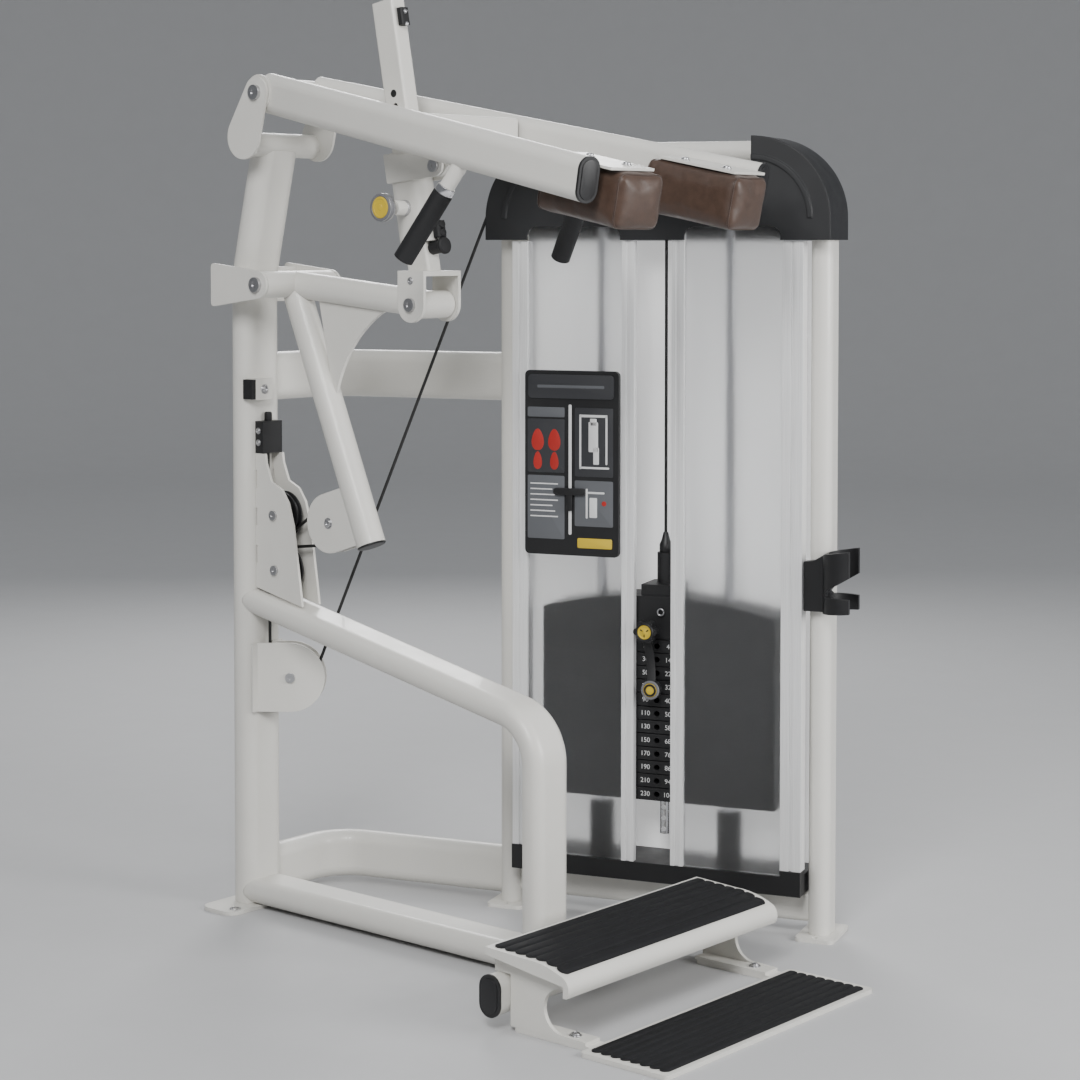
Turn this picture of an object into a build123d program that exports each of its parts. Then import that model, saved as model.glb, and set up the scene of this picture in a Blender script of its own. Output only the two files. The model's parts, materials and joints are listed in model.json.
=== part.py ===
"""Selectorized standing calf raise machine, built as separate steel, rubber, plastic and cushion pieces.

Millimetres. +Z is up, +Y runs from the user to the rear column, +X runs from the column to the weight
tower. The origin is the centre of the column on the floor. The lever frame is symmetric about X = 0;
the weight tower stands turned about Z and is built in its own TOWER plane (x = along its front).
"""

import os
from math import asin, atan2, cos, degrees, hypot, radians, sin, tan

from build123d import *

# ---------------------------------------------------------------- driving dimensions
WALL = 3.0
COLUMN_X, COLUMN_Y = 104.0, 58.0      # column tube section
TUBE_L, TUBE_T = 100.0, 50.0          # flat-oval tube section used for the rest of the lever frame
LIFT = 8.0                            # the tubes stand on 8 mm foot plates
BEND_Z = 1300.0                       # the column leans towards the user above this height

ARM_PIVOT = (-118.0, 1667.0)          # (Y, Z) of the arm axis
LEVER_PIVOT = (-118.0, 1285.0)        # (Y, Z) of the lower lever axis
LINK_TOP = (-536.0, 1515.0)           # (Y, Z) where the arms carry the link
LINK_FOOT = (-490.0, 1250.0)          # (Y, Z) where the link holds the lever
EAR_IN, EAR_OUT = 100.0, 106.0        # pivot plates, both sides
PIN_R, RUN = 10.0, 0.05               # pivot pin radius and running clearance
LINK_PLAY = 2.0                       # extra radius of the lever eye round the link's foot pin

ARM_ROOT_X, ARM_END_X = 68.0, 252.0
ARM_END = (-1087.0, 1476.0)           # (Y, Z) of the arm's front end
ARM_H, ARM_W = 80.0, 44.0
PAD_W, PAD_L, PAD_H = 114.0, 210.0, 100.0
PAD_FRONT = (160.0, -1136.0, 1438.0)  # centre of the pad's front face on the +X side
PAD_CANT = 5.0

LINK_LEAN = 10.5                      # degrees the post leans back
POST_Y, POST_X = 56.0, 38.0
SLEEVE_Y, SLEEVE_X = 86.0, 60.0
SLEEVE_LOW, SLEEVE_HIGH = 118.0, 300.0
POST_TOP = 594.0
PIN_UP = 189.0                        # height of the pull pin along the link
HOLE_PITCH, HOLES = 25.0, 9

PULLEY_R, PULLEY_PITCH_R, PULLEY_W = 48.0, 44.0, 16.0
CABLE_R = 3.2
UPPER_PULLEY = (-82.0, 814.0)
LOWER_PULLEY = (-85.0, 702.0)
LEG_PULLEY = (-229.0, 808.0)
BASE_CORNER_Z = 236.0                 # where the two strands round the base pulley would meet
STRAND_Y = LOWER_PULLEY[0] + PULLEY_PITCH_R
LEG_TOP, LEG_END, LEG_R = (-118.0, 1285.0), (-333.0, 772.0), 29.0

TOWER_X, TOWER_Y, TOWER_TURN = 559.0, -1027.0, -18.28
POST_W, POST_D, POST_GAP = 44.0, 76.0, 657.0
ARCH_Z, ARCH_R = 1547.0, 125.0
ARCH_FOOT = 1380.0
STACK_S, STACK_W, STACK_D = 328.0, 490.0, 104.0
PLATE_T, PLATE_PITCH, PLATE_Z = 25.4, 27.2, 250.0
PLATES, LIFTED = 12, 4
ROD_S = (192.0, 464.0)
ROD_R = 11.0
CABLE_TOP_Z = 1492.0
HEAD_Z = PLATE_Z + PLATES * PLATE_PITCH
PIN_Z = PLATE_Z + (PLATES - LIFTED) * PLATE_PITCH + PLATE_T / 2

SLOPE = radians(12)                   # fall of the incline tube
INCLINE_Y, INCLINE_Z = -781.0, 472.6  # where its centre lines meet
INCLINE_TOP = (-8.0, INCLINE_Z + (-8 - INCLINE_Y) * tan(SLOPE))

STEP_X = 300.0
STEP_BACK = -906.0

TOWER = Plane(
    origin=(TOWER_X, TOWER_Y, 0),
    x_dir=(sin(radians(TOWER_TURN)), cos(radians(TOWER_TURN)), 0),
    z_dir=(0, 0, 1),
)
INCLINE_PLANE = Plane(origin=(0, *INCLINE_TOP), x_dir=(1, 0, 0), z_dir=(0, -cos(SLOPE), -sin(SLOPE)))
LINK = Plane(
    origin=(0, *LINK_FOOT),
    x_dir=(1, 0, 0),
    z_dir=(0, sin(radians(LINK_LEAN)), cos(radians(LINK_LEAN))),
)


# ---------------------------------------------------------------- helpers
def front(depth):
    """Upright sketch plane of the tower: x along its front, y up, extruding away from the user."""
    origin = TOWER.from_local_coords(Vector(0, depth, 0))
    return Plane(origin=origin, x_dir=TOWER.x_dir, z_dir=TOWER.y_dir * -1)


def side(x):
    """Upright sketch plane across X: x is world Y, y is world Z, extruding towards +X."""
    return Plane.YZ.offset(x)


def x_plane(y, z):
    """Plane across X at a point in the machine's side view."""
    return Plane(origin=(0, y, z), x_dir=(0, 1, 0), z_dir=(1, 0, 0))


def ring(length, width, turn=0.0, wall=WALL):
    """Flat-oval tube section in the current sketch."""
    SlotOverall(length, width, rotation=turn)
    SlotOverall(length - 2 * wall, width - 2 * wall, rotation=turn, mode=Mode.SUBTRACT)


def x_rod(radius, x0, x1, y, z, mode=Mode.ADD):
    """Cylinder along X between x0 and x1 in the current part."""
    with Locations(Location(((x0 + x1) / 2, y, z), (0, 90, 0))):
        Cylinder(radius, abs(x1 - x0), mode=mode)


def box(x0, x1, y0, y1, z0, z1, mode=Mode.ADD):
    """Box between two corners in the current part's own frame."""
    with Locations(((x0 + x1) / 2, (y0 + y1) / 2, (z0 + z1) / 2)):
        Box(abs(x1 - x0), abs(y1 - y0), abs(z1 - z0), mode=mode)


def frame_box(plane, x0, x1, y0, y1, z0, z1, mode=Mode.ADD):
    """Box between two corners given in the frame of a plane."""
    centre = plane.from_local_coords(Vector((x0 + x1) / 2, (y0 + y1) / 2, (z0 + z1) / 2))
    with Locations(Plane(origin=centre, x_dir=plane.x_dir, z_dir=plane.z_dir).location):
        Box(x1 - x0, y1 - y0, z1 - z0, mode=mode)


def frame_rod(plane, radius, z0, z1):
    """Rod along a plane's normal between two heights above it."""
    centre = plane.from_local_coords(Vector(0, 0, (z0 + z1) / 2))
    with Locations(Plane(origin=centre, x_dir=plane.x_dir, z_dir=plane.z_dir).location):
        Cylinder(radius, z1 - z0)


def leave(start, sense, end, end_sense):
    """Tangent points of the strand that runs from one pulley to the next (sense +1 is anticlockwise)."""
    dy, dz = end[0] - start[0], end[1] - start[1]
    turn = (sense - end_sense) * PULLEY_PITCH_R / hypot(dy, dz)
    angle = atan2(dz, dy) + asin(turn)
    ny, nz = sin(angle), -cos(angle)
    off = sense * PULLEY_PITCH_R
    back = end_sense * PULLEY_PITCH_R
    return (start[0] + off * ny, start[1] + off * nz), (end[0] + back * ny, end[1] + back * nz)


def around(centre, start, end, sense):
    """Arc about a pulley centre from start to end, turning the given way."""
    a0 = degrees(atan2(start[1] - centre[1], start[0] - centre[0]))
    a1 = degrees(atan2(end[1] - centre[1], end[0] - centre[0]))
    sweep_angle = (a1 - a0) % 360 if sense > 0 else -((a0 - a1) % 360)
    return CenterArc(centre, PULLEY_PITCH_R, a0, sweep_angle)


def corner_centre(before, corner, after):
    """Centre and normal of the pulley that a cable rounds at a corner."""
    a = (before - corner).normalized()
    b = (after - corner).normalized()
    half_angle = a.get_angle(b) / 2
    reach = PULLEY_PITCH_R / sin(radians(half_angle))
    return corner + (a + b).normalized() * reach, a.cross(b).normalized()


def arm_point(sign, t):
    """Point on the arm's centre line, t from 0 at the pivot to 1 at the front end."""
    return Vector(
        sign * (ARM_ROOT_X + t * (ARM_END_X - ARM_ROOT_X)),
        ARM_PIVOT[0] + t * (ARM_END[0] - ARM_PIVOT[0]),
        ARM_PIVOT[1] + t * (ARM_END[1] - ARM_PIVOT[1]),
    )


def arm_plane(sign, t):
    """Plane across the arm at t, x level, facing the front end."""
    direction = arm_point(sign, 1) - arm_point(sign, 0)
    level = Vector(direction.Y, -direction.X, 0)
    return Plane(origin=arm_point(sign, t), x_dir=level, z_dir=direction)


def pad_plane(sign):
    """Plane at the pad's front face, x level across the pad, facing backwards along the pad."""
    pitch = atan2(ARM_PIVOT[1] - ARM_END[1], ARM_PIVOT[0] - ARM_END[0])
    cant = radians(PAD_CANT) * sign
    back = Vector(-sin(cant) * cos(pitch), cos(cant) * cos(pitch), sin(pitch))
    level = Vector(cos(cant), sin(cant), 0)
    return Plane(origin=(sign * PAD_FRONT[0], PAD_FRONT[1], PAD_FRONT[2]), x_dir=level, z_dir=back)


def column_line():
    """Centre line of the column in the machine's side view."""
    with BuildLine(Plane.YZ) as line:
        FilletPolyline((0, LIFT), (0, BEND_Z), (-60, 1560), radius=260)
    return line.line


def incline_line():
    """Centre line of the incline tube, from inside the column down to the base tube."""
    with BuildLine(Plane.YZ) as line:
        FilletPolyline(INCLINE_TOP, (INCLINE_Y, INCLINE_Z), (INCLINE_Y, LIFT + TUBE_T), radius=95)
    return line.line


def arch_line():
    """Centre line of the tower's arch, from post to post."""
    with BuildLine(front(0)) as line:
        FilletPolyline((0, ARCH_FOOT), (0, ARCH_Z), (POST_GAP, ARCH_Z), (POST_GAP, ARCH_FOOT), radius=ARCH_R)
    return line.line


# ---------------------------------------------------------------- lever frame
with BuildPart() as column_outer:
    with BuildSketch(Plane.XY.offset(LIFT)):
        SlotOverall(COLUMN_X, COLUMN_Y)
    sweep(path=column_line())

with BuildPart() as column:
    with BuildSketch(Plane.XY.offset(LIFT)):
        ring(COLUMN_X, COLUMN_Y)
    sweep(path=column_line())
    x_rod(24.5, -80, 80, -66, 1566, Mode.SUBTRACT)

with BuildPart() as crosshead:
    x_rod(24.5, -EAR_IN, EAR_IN, -66, 1566)
    x_rod(21.5, -EAR_IN, EAR_IN, -66, 1566, Mode.SUBTRACT)
    for x in (-EAR_OUT, EAR_IN):
        with BuildSketch(side(x)):
            with Locations(ARM_PIVOT):
                Circle(31)
            with Locations((-82, 1581)):
                Circle(46)
            make_hull()
            with Locations(ARM_PIVOT):
                Circle(PIN_R, mode=Mode.SUBTRACT)
        extrude(amount=EAR_OUT - EAR_IN)

with BuildPart() as foot_plates:
    with BuildSketch():
        RectangleRounded(236, 96, 26)
        with Locations((-88, -28), (88, -28)):
            Circle(7, mode=Mode.SUBTRACT)
    extrude(amount=LIFT)
    for s in (0, POST_GAP):
        with BuildSketch(TOWER):
            with Locations((s, 0)):
                RectangleRounded(78, 128, 12)
            with Locations((s, -51), (s, 51)):
                Circle(6, mode=Mode.SUBTRACT)
        extrude(amount=LIFT)

with BuildPart() as base_tube:
    with BuildSketch(Plane.XZ.offset(10)):
        with Locations((0, LIFT + TUBE_T / 2)):
            ring(TUBE_L, TUBE_T)
    extrude(amount=900)
    x_rod(TUBE_T / 2, -25, 25, -10, LIFT + TUBE_T / 2)
    with Locations((-25, -10, LIFT + TUBE_T / 2), (25, -10, LIFT + TUBE_T / 2)):
        Sphere(TUBE_T / 2)
    add(column_outer.part, mode=Mode.SUBTRACT)
    x_rod(23, -60, 60, -920, 48, Mode.SUBTRACT)
    box(-60, 60, -943, -897, 48, 76, Mode.SUBTRACT)

with BuildPart() as incline_outer:
    with BuildSketch(INCLINE_PLANE):
        SlotOverall(TUBE_L, TUBE_T)
    sweep(path=incline_line())

with BuildPart() as incline_tube:
    with BuildSketch(INCLINE_PLANE):
        ring(TUBE_L, TUBE_T)
    sweep(path=incline_line())
    x_rod(TUBE_T / 2, -25, 25, *INCLINE_TOP)
    for x in (-25, 25):
        with Locations((x, *INCLINE_TOP)):
            Sphere(TUBE_T / 2)
    add(column_outer.part, mode=Mode.SUBTRACT)
    box(-80, 80, INCLINE_Y - 80, INCLINE_Y + 80, 0, LIFT + TUBE_T, Mode.SUBTRACT)
    with Locations((0, STRAND_Y, 640)):
        Cylinder(8, 120, mode=Mode.SUBTRACT)

# the two tubes that tie the column to the tower share one plan shape
SIDE_END = TOWER.from_local_coords(Vector(POST_GAP + 24, -34, 0))
SIDE_BEND_X = SIDE_END.X - (20 - SIDE_END.Y) * tan(radians(-TOWER_TURN))
with BuildPart() as posts_outer:
    for s in (0, POST_GAP):
        with BuildSketch(TOWER.offset(LIFT)):
            with Locations((s, 0)):
                SlotOverall(POST_D, POST_W, rotation=90)
        extrude(amount=ARCH_FOOT - LIFT)

with BuildPart() as side_tubes:
    for z in (LIFT + TUBE_L / 2, 1091.0):
        with BuildLine(Plane.XY.offset(z)):
            FilletPolyline((30, 20), (SIDE_BEND_X, 20), (SIDE_END.X, SIDE_END.Y - 12), radius=105)
        with BuildSketch(Plane(origin=(30, 20, z), x_dir=(0, 1, 0), z_dir=(1, 0, 0))):
            ring(TUBE_L, TUBE_T, 90)
        sweep()
    add(column_outer.part, mode=Mode.SUBTRACT)
    add(posts_outer.part, mode=Mode.SUBTRACT)

with BuildPart() as lever_bracket:
    for x in (-EAR_OUT, EAR_IN):
        with BuildSketch(side(x)):
            with Locations(LEVER_PIVOT):
                Circle(28)
            with Locations((8, 1319), (8, 1248)):
                Circle(8)
            make_hull()
            with Locations(LEVER_PIVOT):
                Circle(PIN_R, mode=Mode.SUBTRACT)
        extrude(amount=EAR_OUT - EAR_IN)
    box(-EAR_IN, EAR_IN, -22, 12, 1248, 1319)
    add(column_outer.part, mode=Mode.SUBTRACT)

COLUMN_FACE = -COLUMN_Y / 2
with BuildPart() as pulley_bracket:
    for x in (-27, 21):
        with BuildSketch(side(x)):
            with BuildLine():
                Polyline((COLUMN_FACE, 938), (-57, 938), (-60, 918), (-75, 882), (-105, 868), (-124, 842),
                         (-138, 797), (-163, 634), (COLUMN_FACE, 663), (COLUMN_FACE, 938))
            make_face()
            for y, z in (UPPER_PULLEY, LOWER_PULLEY):
                with Locations((y, z)):
                    Circle(6, mode=Mode.SUBTRACT)
            for z in (885, 808, 731):
                with Locations((COLUMN_FACE, z)):
                    Rectangle(8, 36, mode=Mode.SUBTRACT)
        extrude(amount=6)
    add(incline_outer.part, mode=Mode.SUBTRACT)

# the base pulley stands in the plane of the cable that rises from it to the top of the tower
TOP_REAR = TOWER.from_local_coords(Vector(665, 60, CABLE_TOP_Z))
TOP_FRONT = TOWER.from_local_coords(Vector(STACK_S, 0, CABLE_TOP_Z))
LOW_CORNER = Vector(0, STRAND_Y, BASE_CORNER_Z)
BASE_CENTRE, BASE_NORMAL = corner_centre(Vector(0, STRAND_Y, 700), LOW_CORNER, TOP_REAR)
HEADING = Vector(TOP_REAR.X, TOP_REAR.Y - STRAND_Y, 0).normalized()
BASE_PLANE = Plane(origin=BASE_CENTRE, x_dir=HEADING, z_dir=BASE_NORMAL)
with BuildPart() as lower_bracket:
    for depth in (-18, 13):
        with BuildSketch(BASE_PLANE.offset(depth)):
            Circle(71)
            with Locations((-60, 0)):
                Rectangle(120, 142)
            Circle(6, mode=Mode.SUBTRACT)
        extrude(amount=5)
    box(-120, 120, COLUMN_FACE - 4.9, 160, 200, 600, Mode.SUBTRACT)
    for x0, x1 in ((-42, -16), (16, 42)):
        box(x0, x1, COLUMN_FACE - 5, COLUMN_FACE, BASE_CENTRE.Z - 71, BASE_CENTRE.Z + 71)
    add(column_outer.part, mode=Mode.SUBTRACT)

with BuildPart() as clamp_block:
    box(-27, 27, -51, COLUMN_FACE + 8, 938.2, 1004)
    with Locations((0, UPPER_PULLEY[0] + PULLEY_PITCH_R, 971)):
        Cylinder(CABLE_R, 80, mode=Mode.SUBTRACT)
    add(column_outer.part, mode=Mode.SUBTRACT)

with BuildPart() as stop_block:
    box(-43, 3, -49, COLUMN_FACE + 8, 1048, 1092)
    add(column_outer.part, mode=Mode.SUBTRACT)
    with Locations(Location((-20, -49, 1070), (90, 0, 0))):
        Cylinder(4, 24, mode=Mode.SUBTRACT)

# ---------------------------------------------------------------- steps
with BuildPart() as front_cross_tube:
    with BuildSketch(side(-308)):
        with Locations((-920, 62)):
            ring(74, 46, 90)
    extrude(amount=616)

with BuildPart() as tube_caps:
    for x in (-312.4, 308.2):
        with BuildSketch(side(x)):
            with Locations((-920, 62)):
                SlotOverall(76, 48, rotation=90)
        extrude(amount=4.2)

with BuildPart() as step_brackets:
    for web, foot in ((-284, -284), (276, 244)):
        with BuildSketch(side(web)):
            with BuildLine():
                Polyline((-908, 128), (-908, 99.2), (-944, 99.2), (-944, 8), (-1112, 8), (-1112, 14))
                Line((-1112, 14), (-1056, 16))
                ThreePointArc((-1056, 16), (-1020, 54), (-1076, 92))
                Line((-1076, 92), (-1076, 108))
                Line((-1076, 108), (-908, 128))
            make_face()
        extrude(amount=8)
        box(foot, foot + 40, -1112, -950, 8, 14)
        with Locations((foot + 20, -1074, 11)):
            Cylinder(6, 10, mode=Mode.SUBTRACT)

with BuildPart() as step_board:
    with BuildSketch(side(-STEP_X - 8)):
        with BuildLine():
            Polyline((STEP_BACK, 132), (STEP_BACK, 146), (-1000, 141.5))
            ThreePointArc((-1000, 141.5), (-1050, 136), (-1084, 124))
            ThreePointArc((-1084, 124), (-1094, 110), (-1090, 90))
            Polyline((-1090, 90), (-1082, 90), (-1082, 109), (STEP_BACK, 132))
        make_face()
    extrude(amount=2 * STEP_X + 16)

with BuildPart() as step_mats:
    with BuildSketch(side(-STEP_X)):
        with BuildLine():
            Polyline((-914, 145.65), (-914, 149.7), (-1000, 145.6))
            ThreePointArc((-1000, 145.6), (-1047, 140.9), (-1078, 131.0))
            Line((-1078, 131.0), (-1078, 127.2))
            ThreePointArc((-1078, 127.2), (-1047, 136.9), (-1000, 141.75))
            Line((-1000, 141.75), (-914, 145.65))
        make_face()
    extrude(amount=2 * STEP_X)
    box(-STEP_X, STEP_X, -1297, -1131, 8, 12)

with BuildPart() as lower_frame:
    with BuildSketch():
        with Locations((0, -1214)):
            RectangleRounded(2 * STEP_X + 24, 186, 10)
        with Locations((-264, -1090), (264, -1090)):
            RectangleRounded(40, 280, 8)
        with Locations((-264, -1074), (264, -1074)):
            Circle(6, mode=Mode.SUBTRACT)
    extrude(amount=8)

# ---------------------------------------------------------------- weight tower
with BuildPart() as tower_posts:
    for s in (0, POST_GAP):
        with BuildSketch(TOWER.offset(LIFT)):
            with Locations((s, 0)):
                ring(POST_D, POST_W, 90)
        extrude(amount=ARCH_FOOT - LIFT)

with BuildPart() as arch_outer:
    with BuildSketch(TOWER.offset(ARCH_FOOT)):
        SlotOverall(POST_D, POST_W, rotation=90)
    sweep(path=arch_line())

with BuildPart() as bottom_rail:
    with BuildSketch(front(22)):
        with Locations((POST_GAP / 2, 58)):
            Rectangle(POST_GAP - 30, 60)
    extrude(amount=44)
    fillet(bottom_rail.edges().filter_by(lambda e: e.length > 500), 12)
    add(posts_outer.part, mode=Mode.SUBTRACT)

with BuildPart() as plinth:
    frame_box(TOWER, 24, 634, -52, 74, 90, 128)
    frame_box(TOWER, 24, 66, 42, 74, 128, 139)
    frame_box(TOWER, 612, 634, 42, 74, 128, 139)
    for s in (0, POST_GAP):
        frame_box(TOWER, s - 26, s + 26, -60, 43, 80, 150, Mode.SUBTRACT)

with BuildPart(TOWER) as corner_extrusions:
    for s0, s1 in ((24, 66), (600, 633)):
        box(s0, s1, 42, 72, 139.2, 1372)
        box((s0 + s1) / 2 - 3, (s0 + s1) / 2 + 3, 68, 72, 139.2, 1372, Mode.SUBTRACT)

with BuildPart(TOWER) as centre_rails:
    for s0, s1 in ((266, 292), (370, 396)):
        box(s0, s1, 58, 74, 128, 1396)
        box(s0 + 9, s1 - 9, 71, 74, 128, 1396, Mode.SUBTRACT)

with BuildPart(TOWER) as side_panels:
    for s0, s1 in ((66.2, 265.8), (396.2, 599.8)):
        box(s0, s1, 62, 66, 128.2, 1400)

with BuildPart(TOWER) as back_panel:
    box(24, 633, -56, -53, 100, 1372)

with BuildPart(TOWER) as guide_rods:
    for s in ROD_S:
        with Locations((s, 0, (128 + 1500) / 2)):
            Cylinder(ROD_R, 1500 - 128)

# ---------------------------------------------------------------- cable and pulleys in the tower
with BuildPart() as main_cable:
    with BuildLine():
        FilletPolyline(
            (0, STRAND_Y, LOWER_PULLEY[1]),
            LOW_CORNER,
            TOP_REAR,
            TOP_FRONT,
            TOP_FRONT - Vector(0, 0, CABLE_TOP_Z - 1440),
            radius=PULLEY_PITCH_R,
        )
    with BuildSketch(Plane(origin=(0, STRAND_Y, LOWER_PULLEY[1]), x_dir=(1, 0, 0), z_dir=(0, 0, -1))):
        Circle(CABLE_R)
    sweep()


REAR_C, REAR_N = corner_centre(LOW_CORNER, TOP_REAR, TOP_FRONT)
FRONT_C, FRONT_N = corner_centre(TOP_REAR, TOP_FRONT, TOP_FRONT - Vector(0, 0, 50))
REAR_PLANE = Plane(origin=REAR_C, z_dir=REAR_N)
FRONT_PLANE = Plane(origin=FRONT_C, z_dir=FRONT_N)


def build_pulley(plane):
    """Grooved pulley turning on a 12 mm axle, in the current part; the groove clears the cable."""
    w = PULLEY_W / 2
    with BuildLine() as half_section:
        Polyline((6 + RUN, -w), (14, -w), (16, -w + 3), (38, -w + 3), (40, -w), (PULLEY_R, -w),
                 (PULLEY_R, -w + 3), (PULLEY_PITCH_R, -CABLE_R - 0.4))
        ThreePointArc((PULLEY_PITCH_R, -CABLE_R - 0.4), (PULLEY_PITCH_R - CABLE_R - 0.4, 0),
                      (PULLEY_PITCH_R, CABLE_R + 0.4))
        Polyline((PULLEY_PITCH_R, CABLE_R + 0.4), (PULLEY_R, w - 3), (PULLEY_R, w), (40, w), (38, w - 3),
                 (16, w - 3), (14, w), (6 + RUN, w), (6 + RUN, -w))
    across = Plane(origin=plane.origin, x_dir=plane.x_dir, z_dir=plane.y_dir * -1)
    with BuildSketch(across) as section:
        make_face(half_section.edges())
    revolve(section.sketch, axis=Axis(plane.origin, plane.z_dir))


with BuildPart() as upper_pulley:
    build_pulley(x_plane(*UPPER_PULLEY))
with BuildPart() as lower_pulley:
    build_pulley(x_plane(*LOWER_PULLEY))
with BuildPart() as leg_pulley:
    build_pulley(x_plane(*LEG_PULLEY))
with BuildPart() as base_pulley:
    build_pulley(BASE_PLANE)
with BuildPart() as rear_top_pulley:
    build_pulley(REAR_PLANE)
with BuildPart() as front_top_pulley:
    build_pulley(FRONT_PLANE)

FRONT_UP = Plane(origin=FRONT_C, x_dir=Vector(0, 0, 1).cross(FRONT_N), z_dir=FRONT_N)
with BuildPart() as arch_tube:
    for depth in (-14.5, 10.0):
        frame_box(FRONT_UP, -16, 16, -16, 52, depth, depth + 4.5)
    frame_box(TOWER, 170, 486, -22, 22, 1500, 1530)
    with Locations(FRONT_PLANE.location):
        Cylinder(6, 29, mode=Mode.SUBTRACT)
    with BuildSketch(front(39)):
        with Locations((614, 1456)):
            Rectangle(80, 88)
    extrude(amount=6)
    with Locations(REAR_PLANE.location):
        Cylinder(6, 90, mode=Mode.SUBTRACT)
    add(arch_outer.part, mode=Mode.SUBTRACT)
    with BuildSketch(TOWER.offset(ARCH_FOOT)):
        ring(POST_D, POST_W, 90)
    sweep(path=arch_line())

with BuildPart() as rubber_stops:
    for s in ROD_S:
        foot = TOWER.from_local_coords(Vector(s, 0, 178))
        with Locations((foot.X, foot.Y, foot.Z)):
            Cylinder(25, 100)
            Cylinder(ROD_R, 100, mode=Mode.SUBTRACT)
    box(-53.2, -43.2, -48, COLUMN_FACE + 8, 1050, 1090)
    add(column_outer.part, mode=Mode.SUBTRACT)

CAP_R = 160.0
CAP_CENTRES = ((ARCH_R + 3, 1417.0), (POST_GAP - ARCH_R - 3, 1417.0))


def cover_outline(inset, low):
    """Front outline of the tower's top cover: two rounded corners joined by a lower band."""
    r = CAP_R - inset
    for (s, z), sign in zip(CAP_CENTRES, (-1, 1)):
        with Locations((s, z)):
            with Locations((sign * r / 2, r / 2)):
                Rectangle(r, r)
        with Locations((s + sign * r / 2, (low + z) / 2)):
            Rectangle(r, z - low)
    for (s, z), sign in zip(CAP_CENTRES, (-1, 1)):
        with BuildLine() as corner:
            Line((s + sign * r, z), (s + sign * (r + 1), z))
            Line((s + sign * (r + 1), z), (s + sign * (r + 1), z + r + 1))
            Line((s + sign * (r + 1), z + r + 1), (s, z + r + 1))
            Line((s, z + r + 1), (s, z + r))
            ThreePointArc((s, z + r), (s + sign * r * sin(radians(45)), z + r * cos(radians(45))),
                          (s + sign * r, z))
        make_face(corner.edges(), mode=Mode.SUBTRACT)
    with Locations((POST_GAP / 2, (low + 1514 - inset) / 2)):
        Rectangle(CAP_CENTRES[1][0] - CAP_CENTRES[0][0] + 2, 1514 - inset - low)


with BuildPart() as cover_inside:
    with BuildSketch(front(76)):
        cover_outline(4, 1360)
    extrude(amount=122)
    frame_box(TOWER, 100, 560, -46, 76, 1480, 1600)

with BuildPart() as top_cover:
    with BuildSketch(front(80)):
        cover_outline(0, 1374)
    extrude(amount=130)
    add(cover_inside.part, mode=Mode.SUBTRACT)
    for s0, s1 in ((68, 264), (398, 598)):
        with BuildSketch(front(81)):
            with Locations(((s0 + s1) / 2, 1374)):
                RectangleRounded(s1 - s0, 52, 20)
        extrude(amount=10, mode=Mode.SUBTRACT)
    for (s, z), sign in zip(CAP_CENTRES, (-1, 1)):
        with BuildSketch(front(83)):
            with Locations((s, z)):
                Circle(124)
                Circle(114, mode=Mode.SUBTRACT)
            with Locations((s - sign * 100, z)):
                Rectangle(200, 300, mode=Mode.SUBTRACT)
            with Locations((s, z - 100)):
                Rectangle(300, 200, mode=Mode.SUBTRACT)
        extrude(amount=3.5)
    add(posts_outer.part, mode=Mode.SUBTRACT)
    add(arch_outer.part, mode=Mode.SUBTRACT)
    frame_box(TOWER, 660, 700, 46, 76, 1360, 1480, Mode.SUBTRACT)


# ---------------------------------------------------------------- weight stack
def plates(first, last):
    """Drilled weight plates, counted from the bottom of the stack."""
    for i in range(first, last):
        z = PLATE_Z + i * PLATE_PITCH
        box(STACK_S - STACK_W / 2, STACK_S + STACK_W / 2, -STACK_D / 2, STACK_D / 2, z, z + PLATE_T)
        for s in ROD_S:
            with Locations((s, 0, z + PLATE_T / 2)):
                Cylinder(ROD_R + 1.5, PLATE_T + 2, mode=Mode.SUBTRACT)
        with Locations((STACK_S, 0, z + PLATE_T / 2)):
            Cylinder(12.5, PLATE_T + 2, mode=Mode.SUBTRACT)
        with Locations(Location((STACK_S, STACK_D / 4 + 2, z + PLATE_T / 2), (90, 0, 0))):
            Cylinder(5.6, STACK_D / 2, mode=Mode.SUBTRACT)


with BuildPart(TOWER) as fixed_plates:
    plates(0, PLATES - LIFTED)
with BuildPart(TOWER) as lifted_plates:
    plates(PLATES - LIFTED, PLATES)

with BuildPart(TOWER) as stack_head:
    with BuildSketch(front(STACK_D / 2)):
        with BuildLine():
            Polyline((83, HEAD_Z + 54), (83, HEAD_Z), (573, HEAD_Z), (573, HEAD_Z + 54))
            ThreePointArc((573, HEAD_Z + 54), (STACK_S, HEAD_Z + 86), (83, HEAD_Z + 54))
        make_face()
    extrude(amount=STACK_D)
    box(292, 364, -36, 46, HEAD_Z + 40, HEAD_Z + 108)
    with Locations((STACK_S, 0, HEAD_Z + 138)):
        Cylinder(17, 62)
    for s in ROD_S:
        with Locations((s, 0, HEAD_Z + 50)):
            Cylinder(ROD_R + 1.5, 120, mode=Mode.SUBTRACT)
    with Locations((STACK_S, 0, HEAD_Z + 20)):
        Cylinder(11, 41, mode=Mode.SUBTRACT)
    with Locations(Location((STACK_S + 10, 46, HEAD_Z + 20), (90, 0, 0))):
        Cylinder(5 + RUN, 40, mode=Mode.SUBTRACT)

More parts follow.
